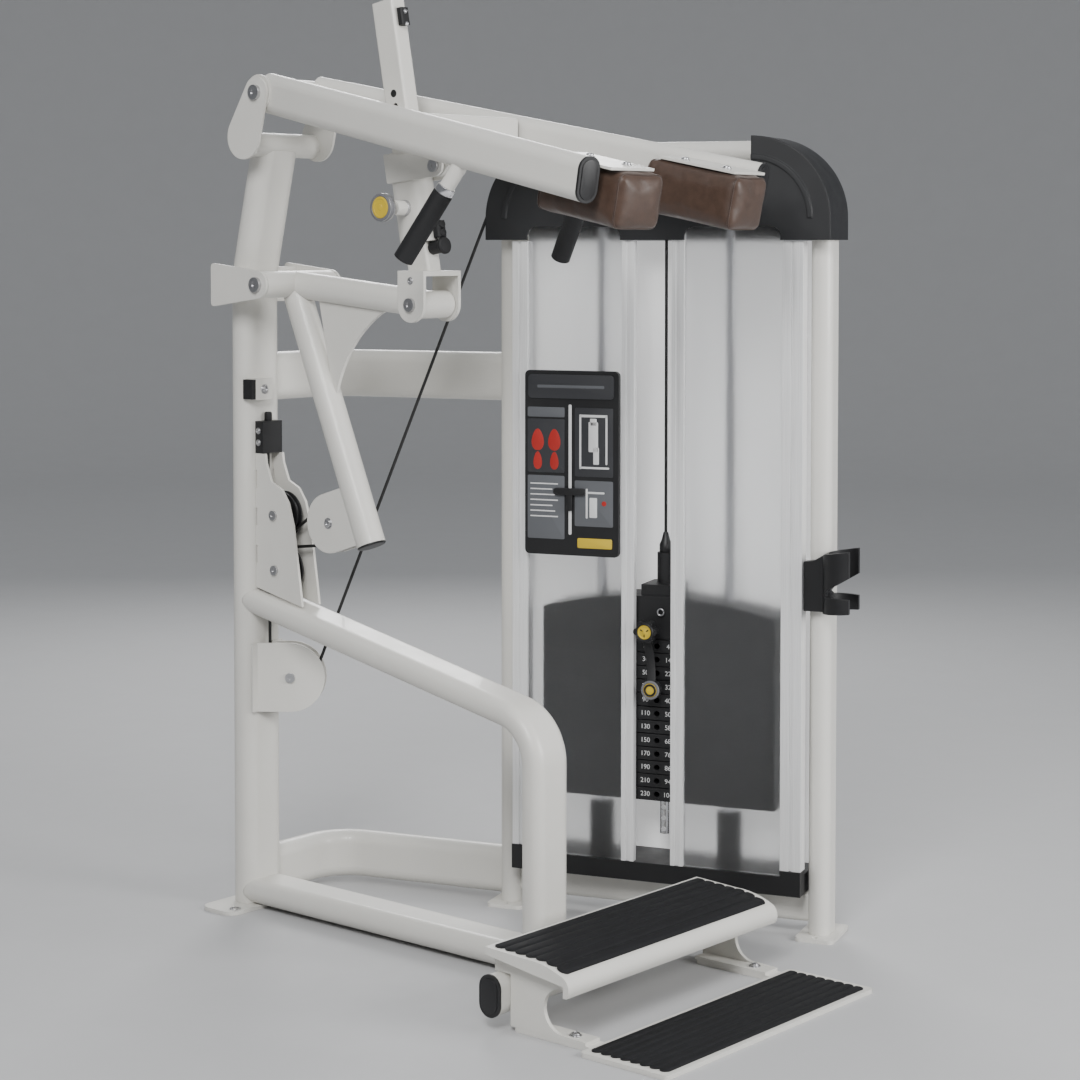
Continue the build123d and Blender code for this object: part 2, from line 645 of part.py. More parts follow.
with BuildPart(TOWER) as selector_rod:
    with Locations((STACK_S, 0, (174 + HEAD_Z + 40.5) / 2)):
        Cylinder(10.9, HEAD_Z + 40.5 - 174)
    heights = [PLATE_Z + i * PLATE_PITCH + PLATE_T / 2 for i in range(PLATES)] + [184, 206, 228]
    for z in heights:
        with Locations(Location((STACK_S, 0, z), (90, 0, 0))):
            Cylinder(5.4, 30, mode=Mode.SUBTRACT)
    box(STACK_S - 20, STACK_S + 20, 14, 60, HEAD_Z, HEAD_Z + 41, Mode.SUBTRACT)

with BuildPart(TOWER) as selector_pin:
    with Locations(Location((STACK_S, 33, PIN_Z), (90, 0, 0))):
        Cylinder(5.3, 86)
    with Locations(Location((STACK_S, 84, PIN_Z), (90, 0, 0))):
        Cylinder(19, 16)

with BuildPart(TOWER) as head_knob:
    with Locations(Location((STACK_S + 10, 57, HEAD_Z + 20), (90, 0, 0))):
        Cylinder(5, 58)
    with BuildSketch(front(100)):
        with Locations((STACK_S + 10, HEAD_Z + 20)):
            Circle(19)
            with PolarLocations(17, 6):
                Circle(7)
    extrude(amount=22)

with BuildPart() as stack_cable:
    foot = TOWER.from_local_coords(Vector(STACK_S, 0, HEAD_Z + 169))
    with Locations((foot.X, foot.Y, (foot.Z + 1440) / 2)):
        Cylinder(CABLE_R, 1440 - foot.Z)

with BuildPart(TOWER) as placard:
    with BuildSketch(front(85)):
        with Locations((499, 926)):
            RectangleRounded(202, 372, 10)
    extrude(amount=10)

with BuildPart() as bottle_holder:
    with BuildSketch(TOWER.offset(652)):
        with Locations((-62, 62)):
            Circle(45)
            Circle(36, mode=Mode.SUBTRACT)
        with Locations((-107, 62)):
            Rectangle(58, 100, mode=Mode.SUBTRACT)
    extrude(amount=124)
    frame_box(TOWER, -22, 23.8, 34, 60, 652, 776)
    frame_box(TOWER, -28, -20, 44, 58, 652, 776)
    with BuildSketch(front(120)):
        Polygon((24, 652), (24, 748), (4, 751), (-24, 768), (-80, 777), (-80, 728), (-30, 698),
                (-26, 692), (-30, 687), (-80, 684), (-80, 656), (-24, 652), align=None)
    extrude(amount=120, mode=Mode.INTERSECT)
    add(posts_outer.part, mode=Mode.SUBTRACT)

# ---------------------------------------------------------------- cables that run on the lever frame
Q0, Q1 = leave(UPPER_PULLEY, -1, LEG_PULLEY, 1)
Q2, Q3 = leave(LEG_PULLEY, 1, LOWER_PULLEY, -1)
with BuildPart() as leg_cable:
    with BuildLine(Plane.YZ):
        Line(Q0, Q1)
        around(LEG_PULLEY, Q1, Q2, 1)
        Line(Q2, Q3)
    with BuildSketch(Plane(origin=(0, *Q0), x_dir=(1, 0, 0), z_dir=(0, Q1[0] - Q0[0], Q1[1] - Q0[1]))):
        Circle(CABLE_R)
    sweep()

HOLD_Y = UPPER_PULLEY[0] + PULLEY_PITCH_R
with BuildPart() as cable_runs:
    add(main_cable.part)
    with BuildLine(Plane.YZ):
        Line((HOLD_Y, 1014), (HOLD_Y, UPPER_PULLEY[1]))
        around(UPPER_PULLEY, (HOLD_Y, UPPER_PULLEY[1]), Q0, -1)
    with BuildSketch(Plane(origin=(0, HOLD_Y, 1014), x_dir=(1, 0, 0), z_dir=(0, 0, -1))):
        Circle(CABLE_R)
    sweep()
    with BuildLine(Plane.YZ):
        around(LOWER_PULLEY, (STRAND_Y, LOWER_PULLEY[1]), Q3, 1)
    with BuildSketch(Plane(origin=(0, STRAND_Y, LOWER_PULLEY[1]), x_dir=(1, 0, 0), z_dir=(0, 0, 1))):
        Circle(CABLE_R)
    sweep()


# ---------------------------------------------------------------- pins and bolts of the frame
def bolt(plane, radius, z0, z1, head):
    """Pin along a plane's normal with a domed socket head at each end."""
    with Locations(plane.location):
        with Locations((0, 0, (z0 + z1) / 2)):
            Cylinder(radius, z1 - z0)
        for z, sign in ((z0, -1), (z1, 1)):
            with Locations((0, 0, z + sign * head * 0.25)):
                Cylinder(head, head * 0.5)
            with Locations((0, 0, z + sign * (head * 0.5 - 1))):
                Cylinder(head * 0.4, 2.2, mode=Mode.SUBTRACT)


with BuildPart() as pivot_bolts:
    bolt(x_plane(*ARM_PIVOT), PIN_R, -EAR_OUT, EAR_OUT, 15)
    bolt(x_plane(*LEVER_PIVOT), PIN_R, -EAR_OUT, EAR_OUT, 15)

with BuildPart() as pulley_bolts:
    bolt(x_plane(*UPPER_PULLEY), 6, -27, 27, 10)
    bolt(x_plane(*LOWER_PULLEY), 6, -27, 27, 10)
    bolt(BASE_PLANE, 6, -18, 18, 10)
    bolt(FRONT_PLANE, 6, -14.5, 14.5, 9)
    frame_rod(REAR_PLANE, 6, -21.4, 10)

# ---------------------------------------------------------------- arms
with BuildPart() as pivot_tube:
    x_rod(30, -97, 97, *ARM_PIVOT)
    for x in (-98.5, 94):
        x_rod(36, x, x + 4.5, *ARM_PIVOT)
    x_rod(PIN_R + RUN, -99, 99, *ARM_PIVOT, Mode.SUBTRACT)

with BuildPart() as pivot_envelope:
    x_rod(30, -97, 97, *ARM_PIVOT)
    for x in (-98.5, 94):
        x_rod(36, x, x + 4.5, *ARM_PIVOT)

ARM_LENGTH = (arm_point(1, 1) - arm_point(1, 0)).length
with BuildPart() as arm_outer:
    for sign in (-1, 1):
        with BuildSketch(arm_plane(sign, 0.0)):
            SlotOverall(ARM_H, ARM_W, rotation=90)
        extrude(amount=ARM_LENGTH)

HANDLE_TOP, HANDLE_END = (186, -742, 1512), (223, -633, 1339)


def handle(sign):
    """Ends of the hand grip bar under one arm."""
    top = Vector(sign * HANDLE_TOP[0], HANDLE_TOP[1], HANDLE_TOP[2])
    end = Vector(sign * HANDLE_END[0], HANDLE_END[1], HANDLE_END[2])
    return top, end


with BuildPart() as arm_tubes:
    for sign in (-1, 1):
        with BuildSketch(arm_plane(sign, 0.0)):
            ring(ARM_H, ARM_W, 90, 2.5)
        extrude(amount=ARM_LENGTH)
        plane = pad_plane(sign)
        inner, outer = sorted((-sign * 42, sign * 66))
        frame_box(plane, inner, outer, -PAD_H / 2 - 5, -PAD_H / 2, 24, 190)
    add(pivot_envelope.part, mode=Mode.SUBTRACT)
    for sign in (-1, 1):
        start, end = handle(sign)
        with BuildSketch(Plane(origin=start, z_dir=end - start)):
            Circle(14.5)
        extrude(amount=(end - start).length - 4)

with BuildPart() as arm_caps:
    for sign in (-1, 1):
        with BuildSketch(arm_plane(sign, 1)):
            SlotOverall(ARM_H + 1, ARM_W + 1, rotation=90)
        extrude(amount=5)

with BuildPart() as pads:
    for sign in (-1, 1):
        with BuildSketch(pad_plane(sign)):
            RectangleRounded(PAD_W, PAD_H, 16)
        extrude(amount=PAD_L)

with BuildPart() as grips:
    for sign in (-1, 1):
        start, end = handle(sign)
        way = (end - start).normalized()
        with BuildSketch(Plane(origin=start + way * 66, z_dir=way)):
            Circle(19)
            Circle(14.5, mode=Mode.SUBTRACT)
        extrude(amount=(end - start).length - 70)
        with BuildSketch(Plane(origin=end - way * 4, z_dir=way)):
            Circle(19)
        extrude(amount=4)

with BuildPart() as arm_crossbar:
    with BuildSketch(side(-170)):
        with Locations((-583, 1587)):
            RectangleRounded(44, 44, 6)
            RectangleRounded(38, 38, 3, mode=Mode.SUBTRACT)
    extrude(amount=340)
    add(arm_outer.part, mode=Mode.SUBTRACT)
    box(-400, -128, -700, -500, 1500, 1700, Mode.SUBTRACT)
    box(128, 400, -700, -500, 1500, 1700, Mode.SUBTRACT)
    for x in (-26, 18):
        with BuildSketch(side(x)):
            with Locations(LINK_TOP):
                Circle(20)
            with Locations((-563, 1562), (-603, 1562)):
                Circle(3)
            make_hull()
        extrude(amount=8)
    x_rod(15, -28, 28, *LINK_TOP)
    x_rod(8 + RUN, -29, 29, *LINK_TOP, Mode.SUBTRACT)

# ---------------------------------------------------------------- telescoping link
LINK_TOP_LOCAL = LINK.to_local_coords(Vector(0, *LINK_TOP))
TOP_Y, TOP_W = LINK_TOP_LOCAL.Y, LINK_TOP_LOCAL.Z
with BuildPart(LINK) as link_sleeve:
    with BuildSketch(LINK.offset(SLEEVE_LOW)):
        ring(SLEEVE_Y, SLEEVE_X, 90, 3.8)
    extrude(amount=SLEEVE_HIGH - SLEEVE_LOW)
    for x in (-36, 30):
        with BuildSketch(Plane(origin=LINK.from_local_coords(Vector(x, 0, 0)), x_dir=LINK.y_dir,
                               z_dir=LINK.x_dir)):
            with Locations((TOP_Y, TOP_W)):
                Circle(20)
            with Locations((30, 246), (30, 296)):
                Circle(4)
            make_hull()
            with Locations((TOP_Y, TOP_W)):
                Circle(8, mode=Mode.SUBTRACT)
        extrude(amount=6)
    with Locations(Location((-46, 0, PIN_UP), (0, 90, 0))):
        Cylinder(14, 34)
    with Locations(Location((-50, 0, PIN_UP), (0, 90, 0))):
        Cylinder(6 + RUN, 60, mode=Mode.SUBTRACT)

with BuildPart() as link_post:
    with BuildSketch(LINK.offset(60)):
        RectangleRounded(POST_X, POST_Y, 6)
        RectangleRounded(POST_X - 6, POST_Y - 6, 3, mode=Mode.SUBTRACT)
    extrude(amount=POST_TOP - 60)
    with BuildSketch(LINK.offset(POST_TOP)):
        RectangleRounded(POST_X, POST_Y, 6)
    extrude(amount=3)
    with Locations(LINK.location):
        with Locations([(-POST_X / 2, 0, PIN_UP + HOLE_PITCH * k) for k in range(HOLES)]):
            Cylinder(6.2, 14, rotation=(0, 90, 0), mode=Mode.SUBTRACT)
    for x in (-53, 45.5):
        with BuildSketch(side(x)):
            with Locations(LINK_FOOT):
                Circle(34)
            with Locations((-466, 1305), (-514, 1305)):
                Circle(10)
            make_hull()
            with Locations(LINK_FOOT):
                Circle(9, mode=Mode.SUBTRACT)
        extrude(amount=7.5)
    box(-53, 53, LINK_FOOT[0] - 34, LINK_FOOT[0] + 34, 1305, 1315)

with BuildPart(LINK) as link_bumpers:
    with BuildSketch(LINK.offset(POST_TOP - 52)):
        with Locations((0, -POST_Y / 2 - 7)):
            RectangleRounded(22, 13.8, 4)
    extrude(amount=34)
    with Locations(Location((0, -POST_Y / 2 - 14, 105), (90, 0, 0))):
        Cylinder(13, 27.8)
    with BuildSketch(LINK.offset(122)):
        with Locations((0, -SLEEVE_Y / 2 - 9)):
            RectangleRounded(24, 17.8, 6)
    extrude(amount=32)

with BuildPart() as link_bolts:
    bolt(x_plane(*LINK_TOP), 8, -36, 36, 12)
    bolt(x_plane(*LINK_FOOT), 9, -53, 53, 13)

with BuildPart(LINK) as pull_pin:
    with Locations(Location((-57, 0, PIN_UP), (0, 90, 0))):
        Cylinder(6, 82)
    with Locations(Location((-92, 0, PIN_UP), (0, 90, 0))):
        Cylinder(27, 14)
    with Locations(Location((-78, 0, PIN_UP), (0, 90, 0))):
        Cylinder(13, 14)

# ---------------------------------------------------------------- lower lever
LEVER_DIR = atan2(LEVER_PIVOT[1] - LINK_FOOT[1], LEVER_PIVOT[0] - LINK_FOOT[0])
with BuildPart() as lever_arm:
    x_rod(27, -98, 98, *LEVER_PIVOT)
    x_rod(27, -44.5, 44.5, *LINK_FOOT)
    with BuildSketch(Plane(origin=(0, *LEVER_PIVOT), x_dir=(1, 0, 0),
                           z_dir=(0, -cos(LEVER_DIR), -sin(LEVER_DIR)))):
        SlotOverall(54, 50, rotation=90)
    extrude(amount=hypot(LEVER_PIVOT[0] - LINK_FOOT[0], LEVER_PIVOT[1] - LINK_FOOT[1]))
    x_rod(PIN_R + RUN, -99, 99, *LEVER_PIVOT, Mode.SUBTRACT)
    x_rod(9 + LINK_PLAY, -45, 45, *LINK_FOOT, Mode.SUBTRACT)

with BuildPart() as lever_arm_envelope:
    x_rod(27, -98, 98, *LEVER_PIVOT)
    with BuildSketch(Plane(origin=(0, *LEVER_PIVOT), x_dir=(1, 0, 0),
                           z_dir=(0, -cos(LEVER_DIR), -sin(LEVER_DIR)))):
        SlotOverall(54, 50, rotation=90)
    extrude(amount=hypot(LEVER_PIVOT[0] - LINK_FOOT[0], LEVER_PIVOT[1] - LINK_FOOT[1]))

LEG_LENGTH = hypot(LEG_END[0] - LEG_TOP[0], LEG_END[1] - LEG_TOP[1])
LEG = Plane(origin=(0, *LEG_TOP), x_dir=(1, 0, 0),
            z_dir=(0, LEG_END[0] - LEG_TOP[0], LEG_END[1] - LEG_TOP[1]))
with BuildPart() as leg_outer:
    with BuildSketch(LEG):
        Circle(LEG_R)
    extrude(amount=LEG_LENGTH)

with BuildPart() as leg_plates:
    with BuildSketch(side(-4)):
        with BuildLine():
            Line((-190, 1262), (-392, 1243))
            ThreePointArc((-392, 1243), (-292, 1170), (-236, 1050))
            Line((-236, 1050), (-190, 1262))
        make_face()
    extrude(amount=8)
    for x in (-17, 11):
        with BuildSketch(side(x)):
            with Locations(LEG_PULLEY):
                Circle(60)
            with Locations((-292, 884), (-336, 786)):
                Circle(6)
            make_hull()
        extrude(amount=6)
    x_rod(6, -17, 17, *LEG_PULLEY)
    add(lever_arm_envelope.part, mode=Mode.SUBTRACT)
    add(leg_outer.part, mode=Mode.SUBTRACT)

with BuildPart() as lever_leg:
    with BuildSketch(LEG.offset(20)):
        Circle(LEG_R)
        Circle(LEG_R - WALL, mode=Mode.SUBTRACT)
    extrude(amount=LEG_LENGTH - 20)
    with BuildSketch(LEG.offset(LEG_LENGTH - 8)):
        Circle(LEG_R - WALL)
    extrude(amount=4)
    add(lever_arm_envelope.part, mode=Mode.SUBTRACT)
    add(leg_plates.part)

# ---------------------------------------------------------------- export
PIECES = {
    "column": column, "crosshead": crosshead, "foot_plates": foot_plates, "base_tube": base_tube,
    "incline_tube": incline_tube, "side_tubes": side_tubes, "lever_bracket": lever_bracket,
    "pulley_bracket": pulley_bracket, "lower_bracket": lower_bracket, "clamp_block": clamp_block,
    "stop_block": stop_block, "front_cross_tube": front_cross_tube, "tube_caps": tube_caps,
    "step_brackets": step_brackets, "step_board": step_board, "step_mats": step_mats,
    "lower_frame": lower_frame, "tower_posts": tower_posts, "arch_tube": arch_tube,
    "bottom_rail": bottom_rail, "plinth": plinth, "corner_extrusions": corner_extrusions,
    "centre_rails": centre_rails, "side_panels": side_panels, "back_panel": back_panel,
    "guide_rods": guide_rods, "rubber_stops": rubber_stops,
    "top_cover": top_cover, "fixed_plates": fixed_plates, "lifted_plates": lifted_plates,
    "stack_head": stack_head, "selector_rod": selector_rod, "selector_pin": selector_pin,
    "head_knob": head_knob, "stack_cable": stack_cable, "placard": placard,
    "bottle_holder": bottle_holder, "leg_cable": leg_cable, "cable_runs": cable_runs,
    "pivot_bolts": pivot_bolts, "pulley_bolts": pulley_bolts, "upper_pulley": upper_pulley,
    "lower_pulley": lower_pulley, "leg_pulley": leg_pulley, "base_pulley": base_pulley,
    "rear_top_pulley": rear_top_pulley, "front_top_pulley": front_top_pulley,
    "pivot_tube": pivot_tube, "arm_tubes": arm_tubes, "arm_caps": arm_caps,
    "pads": pads, "grips": grips, "arm_crossbar": arm_crossbar,
    "link_sleeve": link_sleeve, "link_post": link_post,
    "link_bumpers": link_bumpers, "link_bolts": link_bolts, "pull_pin": pull_pin,
    "lever_arm": lever_arm, "lever_leg": lever_leg,
}
os.makedirs("parts", exist_ok=True)
for name, piece in PIECES.items():
    piece.part.label = name
    export_step(piece.part, f"parts/{name}.step")
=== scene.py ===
"""Looks of the standing calf raise machine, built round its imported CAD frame. Metres, CAD frame."""

import json
from math import acos, atan2, cos, pi, radians, sin

import bmesh
import bpy
from mathutils import Matrix, Vector
from mathutils.bvhtree import BVHTree


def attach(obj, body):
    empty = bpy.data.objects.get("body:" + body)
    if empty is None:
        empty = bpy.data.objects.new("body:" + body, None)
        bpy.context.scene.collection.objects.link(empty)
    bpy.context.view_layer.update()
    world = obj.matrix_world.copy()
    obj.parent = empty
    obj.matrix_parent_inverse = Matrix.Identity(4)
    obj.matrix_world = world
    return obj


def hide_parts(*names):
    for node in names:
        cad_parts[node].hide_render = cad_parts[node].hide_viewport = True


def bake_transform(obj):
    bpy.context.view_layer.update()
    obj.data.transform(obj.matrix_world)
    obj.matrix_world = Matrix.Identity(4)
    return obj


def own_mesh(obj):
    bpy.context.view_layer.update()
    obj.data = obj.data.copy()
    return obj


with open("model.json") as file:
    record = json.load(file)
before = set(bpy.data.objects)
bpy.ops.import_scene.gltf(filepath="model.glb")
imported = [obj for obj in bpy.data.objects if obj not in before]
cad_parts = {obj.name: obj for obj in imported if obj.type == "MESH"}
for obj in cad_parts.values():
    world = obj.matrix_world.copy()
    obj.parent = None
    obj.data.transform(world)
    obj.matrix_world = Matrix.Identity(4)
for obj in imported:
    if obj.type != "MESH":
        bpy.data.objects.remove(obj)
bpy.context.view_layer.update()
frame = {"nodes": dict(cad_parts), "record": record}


# ---------------------------------------------------------------- frames of the machine
def axes(origin, x, y, z):
    """Matrix whose columns are three directions and an origin."""
    m = Matrix.Identity(4)
    for i, v in enumerate((x, y, z, origin)):
        for j in range(3):
            m[j][i] = v[j]
    return m


def facing(origin, normal, up=(0, 0, 1)):
    """Frame at a point with local Z along the normal and local Y as near to up as it can be."""
    z = Vector(normal).normalized()
    x = Vector(up).cross(z)
    if x.length < 1e-4:
        x = Vector((1, 0, 0)).cross(z)
    x.normalize()
    return axes(origin, x, z.cross(x), z)


TURN = radians(-18.28)          # of the tower's front about the vertical
TOWER = axes((0.559, -1.027, 0), (sin(TURN), cos(TURN), 0), (-cos(TURN), sin(TURN), 0), (0, 0, 1))
LEAN = radians(10.5)            # of the link's post, backwards
LINK = axes((0, -0.490, 1.250), (1, 0, 0), (0, cos(LEAN), -sin(LEAN)), (0, sin(LEAN), cos(LEAN)))


ARM_SPREAD, ARM_RUN, ARM_DROP = 0.184, 0.969, 0.191
PAD_FRONT = (0.160, -1.136, 1.438)
PAD_CANT = radians(5)


def on_tower(s, z, depth):
    """Frame on the tower's front: local X to the viewer's right, Y up, Z towards the user."""
    m = TOWER.to_3x3()
    return axes(TOWER @ Vector((s, depth, z)), m @ Vector((-1, 0, 0)), (0, 0, 1), m @ Vector((0, 1, 0)))


def pad_frame(sign):
    """Frame of a shoulder pad: X across, Y back along the pad from its front face, Z up."""
    pitch, cant = atan2(ARM_DROP, ARM_RUN), PAD_CANT * sign
    back = Vector((-sin(cant) * cos(pitch), cos(cant) * cos(pitch), sin(pitch)))
    level = Vector((cos(cant), sin(cant), 0))
    x, y, z = PAD_FRONT
    return axes((sign * x, y, z), level, back, level.cross(back))


# ---------------------------------------------------------------- materials
def new_material(name, color, roughness, metallic=0.0, **sockets):
    """Principled material with object coordinates ready for its textures."""
    mat = bpy.data.materials.new(name)
    mat.use_nodes = True
    nodes, links = mat.node_tree.nodes, mat.node_tree.links
    shader = nodes["Principled BSDF"]
    shader.inputs["Base Color"].default_value = (*color, 1)
    shader.inputs["Roughness"].default_value = roughness
    shader.inputs["Metallic"].default_value = metallic
    for key, value in sockets.items():
        shader.inputs[key.replace("_", " ")].default_value = value
    where = nodes.new("ShaderNodeTexCoord")
    return mat, nodes, links, shader, where.outputs["Object"]


def stretched(nodes, links, coords, scale):
    """Object coordinates scaled differently along X, Y and Z."""
    mapping = nodes.new("ShaderNodeMapping")
    mapping.inputs["Scale"].default_value = scale
    links.new(coords, mapping.inputs["Vector"])
    return mapping.outputs["Vector"]


def noise_of(nodes, links, coords, scale, detail=3.0, rough=0.55):
    """Noise texture's factor."""
    node = nodes.new("ShaderNodeTexNoise")
    node.inputs["Scale"].default_value = scale
    node.inputs["Detail"].default_value = detail
    node.inputs["Roughness"].default_value = rough
    links.new(coords, node.inputs["Vector"])
    return node.outputs["Fac"]


def vary_color(nodes, links, fac, shader, dark, light):
    """Colour between two tones, driven by a texture."""
    ramp = nodes.new("ShaderNodeValToRGB")
    ramp.color_ramp.elements[0].position = 0.3
    ramp.color_ramp.elements[1].position = 0.7
    ramp.color_ramp.elements[0].color = (*dark, 1)
    ramp.color_ramp.elements[1].color = (*light, 1)
    links.new(fac, ramp.inputs["Fac"])
    links.new(ramp.outputs["Color"], shader.inputs["Base Color"])


def vary_rough(nodes, links, fac, shader, low, high):
    """Roughness between two values, driven by a texture."""
    span = nodes.new("ShaderNodeMapRange")
    span.inputs["From Min"].default_value = 0.25
    span.inputs["From Max"].default_value = 0.75
    span.inputs["To Min"].default_value = low
    span.inputs["To Max"].default_value = high
    links.new(fac, span.inputs["Value"])
    links.new(span.outputs["Result"], shader.inputs["Roughness"])


def bump(nodes, links, height, shader, strength, distance, edge=0.0):
    """Bump from a height, over softened edges where edge is the rounding radius."""
    node = nodes.new("ShaderNodeBump")
    node.inputs["Strength"].default_value = strength
    node.inputs["Distance"].default_value = distance
    links.new(height, node.inputs["Height"])
    if edge:
        soft = nodes.new("ShaderNodeBevel")
        soft.samples = 4
        soft.inputs["Radius"].default_value = edge
        links.new(soft.outputs["Normal"], node.inputs["Normal"])
    links.new(node.outputs["Normal"], shader.inputs["Normal"])


def scaled(color, k):
    return tuple(min(1.0, c * k) for c in color)


def coated(name, color, roughness, grain, strength, distance, edge=0.0015, metallic=0.0, spread=0.05,
           **sockets):
    """Painted, moulded or cast surface: grained bump, patchy tone and patchy gloss."""
    mat, nodes, links, shader, where = new_material(name, color, roughness, metallic, **sockets)
    patches = noise_of(nodes, links, where, 7.0, 4.0)
    vary_color(nodes, links, patches, shader, scaled(color, 1 - spread), scaled(color, 1 + spread))
    vary_rough(nodes, links, noise_of(nodes, links, where, 23.0), shader, roughness - 0.05, roughness + 0.07)
    bump(nodes, links, noise_of(nodes, links, where, grain, 2.0), shader, strength, distance, edge)
    return mat


def brushed(name, color, roughness, scale, edge=0.001, metallic=1.0):
    """Metal with fine lines drawn along one direction."""
    mat, nodes, links, shader, where = new_material(name, color, roughness, metallic)
    lines = noise_of(nodes, links, stretched(nodes, links, where, scale), 1.0, 3.0)
    vary_color(nodes, links, lines, shader, scaled(color, 0.9), scaled(color, 1.05))
    vary_rough(nodes, links, lines, shader, roughness - 0.06, roughness + 0.1)
    bump(nodes, links, lines, shader, 0.12, 0.0002, edge)
    return mat


def leather(name, color):
    """Grained vinyl: cells, creases and a soft sheen."""
    mat, nodes, links, shader, where = new_material(name, color, 0.42, Specular_IOR_Level=0.45)
    shader.inputs["Sheen Weight"].default_value = 0.12
    shader.inputs["Sheen Roughness"].default_value = 0.5
    cells = nodes.new("ShaderNodeTexVoronoi")
    cells.feature = "SMOOTH_F1"
    cells.inputs["Scale"].default_value = 620.0
    links.new(where, cells.inputs["Vector"])
    creases = noise_of(nodes, links, where, 60.0, 5.0, 0.65)
    both = nodes.new("ShaderNodeMath")
    both.operation = "ADD"
    links.new(cells.outputs["Distance"], both.inputs[0])
    links.new(creases, both.inputs[1])
    vary_color(nodes, links, creases, shader, scaled(color, 0.82), scaled(color, 1.16))
    vary_rough(nodes, links, creases, shader, 0.36, 0.52)
    bump(nodes, links, both.outputs[0], shader, 0.35, 0.0006)
    return mat


def frosted(name):
    """Frosted plastic sheet: lets blurred shapes through, with a little white of its own."""
    mat, nodes, links, shader, where = new_material(
        name, (0.97, 0.975, 0.98), 0.36, IOR=1.24, Transmission_Weight=0.98, Specular_IOR_Level=0.25)
    vary_rough(nodes, links, noise_of(nodes, links, where, 3.0), shader, 0.34, 0.40)
    bump(nodes, links, noise_of(nodes, links, where, 500.0), shader, 0.05, 0.0002)
    return mat


def ribbed_rubber(name, color):
    """Matt rubber with fine grooves along the machine's width and dusty tone."""
    mat, nodes, links, shader, where = new_material(name, color, 0.72, Specular_IOR_Level=0.3)
    wave = nodes.new("ShaderNodeTexWave")
    wave.bands_direction = "Y"
    wave.inputs["Scale"].default_value = 140.0
    wave.inputs["Distortion"].default_value = 0.2
    links.new(where, wave.inputs["Vector"])
    dust = noise_of(nodes, links, where, 30.0, 6.0, 0.7)
    vary_color(nodes, links, dust, shader, scaled(color, 0.7), scaled(color, 1.6))
    vary_rough(nodes, links, dust, shader, 0.6, 0.85)
    bump(nodes, links, wave.outputs["Fac"], shader, 0.25, 0.0004)
    return mat


PAINT = (0.70, 0.685, 0.64)
M = {
    "paint": coated("paint", PAINT, 0.40, 420.0, 0.38, 0.0007, spread=0.02, Coat_Weight=0.15),
    "black": coated("black_moulding", (0.009, 0.009, 0.010), 0.42, 900.0, 0.2, 0.0004, spread=0.2),
    "cover": coated("cover_moulding", (0.010, 0.0105, 0.012), 0.46, 800.0, 0.25, 0.0004, 0.004, spread=0.2),
    "rubber": coated("black_rubber", (0.008, 0.008, 0.009), 0.62, 500.0, 0.25, 0.0005, spread=0.3),
    "foam": coated("grip_foam", (0.006, 0.006, 0.007), 0.66, 380.0, 0.5, 0.0010, 0.002, spread=0.3),
    "mat": ribbed_rubber("mat_rubber", (0.007, 0.007, 0.008)),
    "leather": leather("brown_vinyl", (0.056, 0.030, 0.019)),
    "piping": leather("piping_vinyl", (0.043, 0.023, 0.015)),
    "steel": brushed("fastener_steel", (0.55, 0.55, 0.56), 0.3, (900, 900, 900)),
    "chrome": brushed("rod_chrome", (0.75, 0.75, 0.77), 0.12, (700, 700, 12)),
    "aluminium": brushed("satin_aluminium", (0.90, 0.90, 0.90), 0.40, (900, 900, 9), metallic=0.35),
    "frosted": frosted("frosted_panel"),
    # The back sheet's emission is painted light: the sheet glows, though it is no lamp, standing in for light
    # that comes through the frosted panels from behind
    "sheet": coated("back_sheet", (0.85, 0.85, 0.85), 0.5, 300.0, 0.1, 0.0003, spread=0.02,
                    Emission_Color=(1, 1, 1, 1), Emission_Strength=0.40),
    "plate": coated("plate_paint", (0.007, 0.007, 0.008), 0.5, 260.0, 0.3, 0.0006, 0.0015, spread=0.25),
    "cable": coated("cable_coat", (0.012, 0.012, 0.012), 0.35, 1500.0, 0.2, 0.0003, 0.0, spread=0.2),
    "yellow": coated("yellow_plastic", (0.62, 0.44, 0.03), 0.4, 900.0, 0.15, 0.0003, spread=0.08),
    "grey": coated("grey_plastic", (0.16, 0.16, 0.17), 0.45, 900.0, 0.15, 0.0003, spread=0.1),
    "print_dark": coated("print_dark", (0.035, 0.036, 0.04), 0.38, 1200.0, 0.08, 0.0002, 0.0),
    "print_grey": coated("print_grey", (0.11, 0.115, 0.125), 0.4, 1200.0, 0.08, 0.0002, 0.0),
    "print_white": coated("print_white", (0.72, 0.72, 0.72), 0.45, 1200.0, 0.08, 0.0002, 0.0),
    "print_red": coated("print_red", (0.42, 0.02, 0.015), 0.4, 1200.0, 0.08, 0.0002, 0.0, spread=0.15),
}
SLOT_LOOK = {
    "frame_paint": "paint", "arm_paint": "paint", "black_plastic": "black", "cover_plastic": "cover",
    "black_rubber": "rubber", "mat_rubber": "mat", "grip_foam": "foam", "cushion": "leather",
    "fastener": "steel", "rod_chrome": "chrome", "rail_aluminium": "aluminium", "rail_bright": "aluminium",
    "panel": "frosted", "back_sheet": "sheet", "plate_black": "plate", "rod_steel": "chrome",
    "pulley_plastic": "black", "cable_black": "cable", "placard_plastic": "black",
}
for part in frame["record"]["subparts"]:
    node = frame["nodes"][part["node"]]
    look = M[SLOT_LOOK[part["material_slot"]]]
    for i in range(len(node.material_slots)):
        node.material_slots[i].material = look


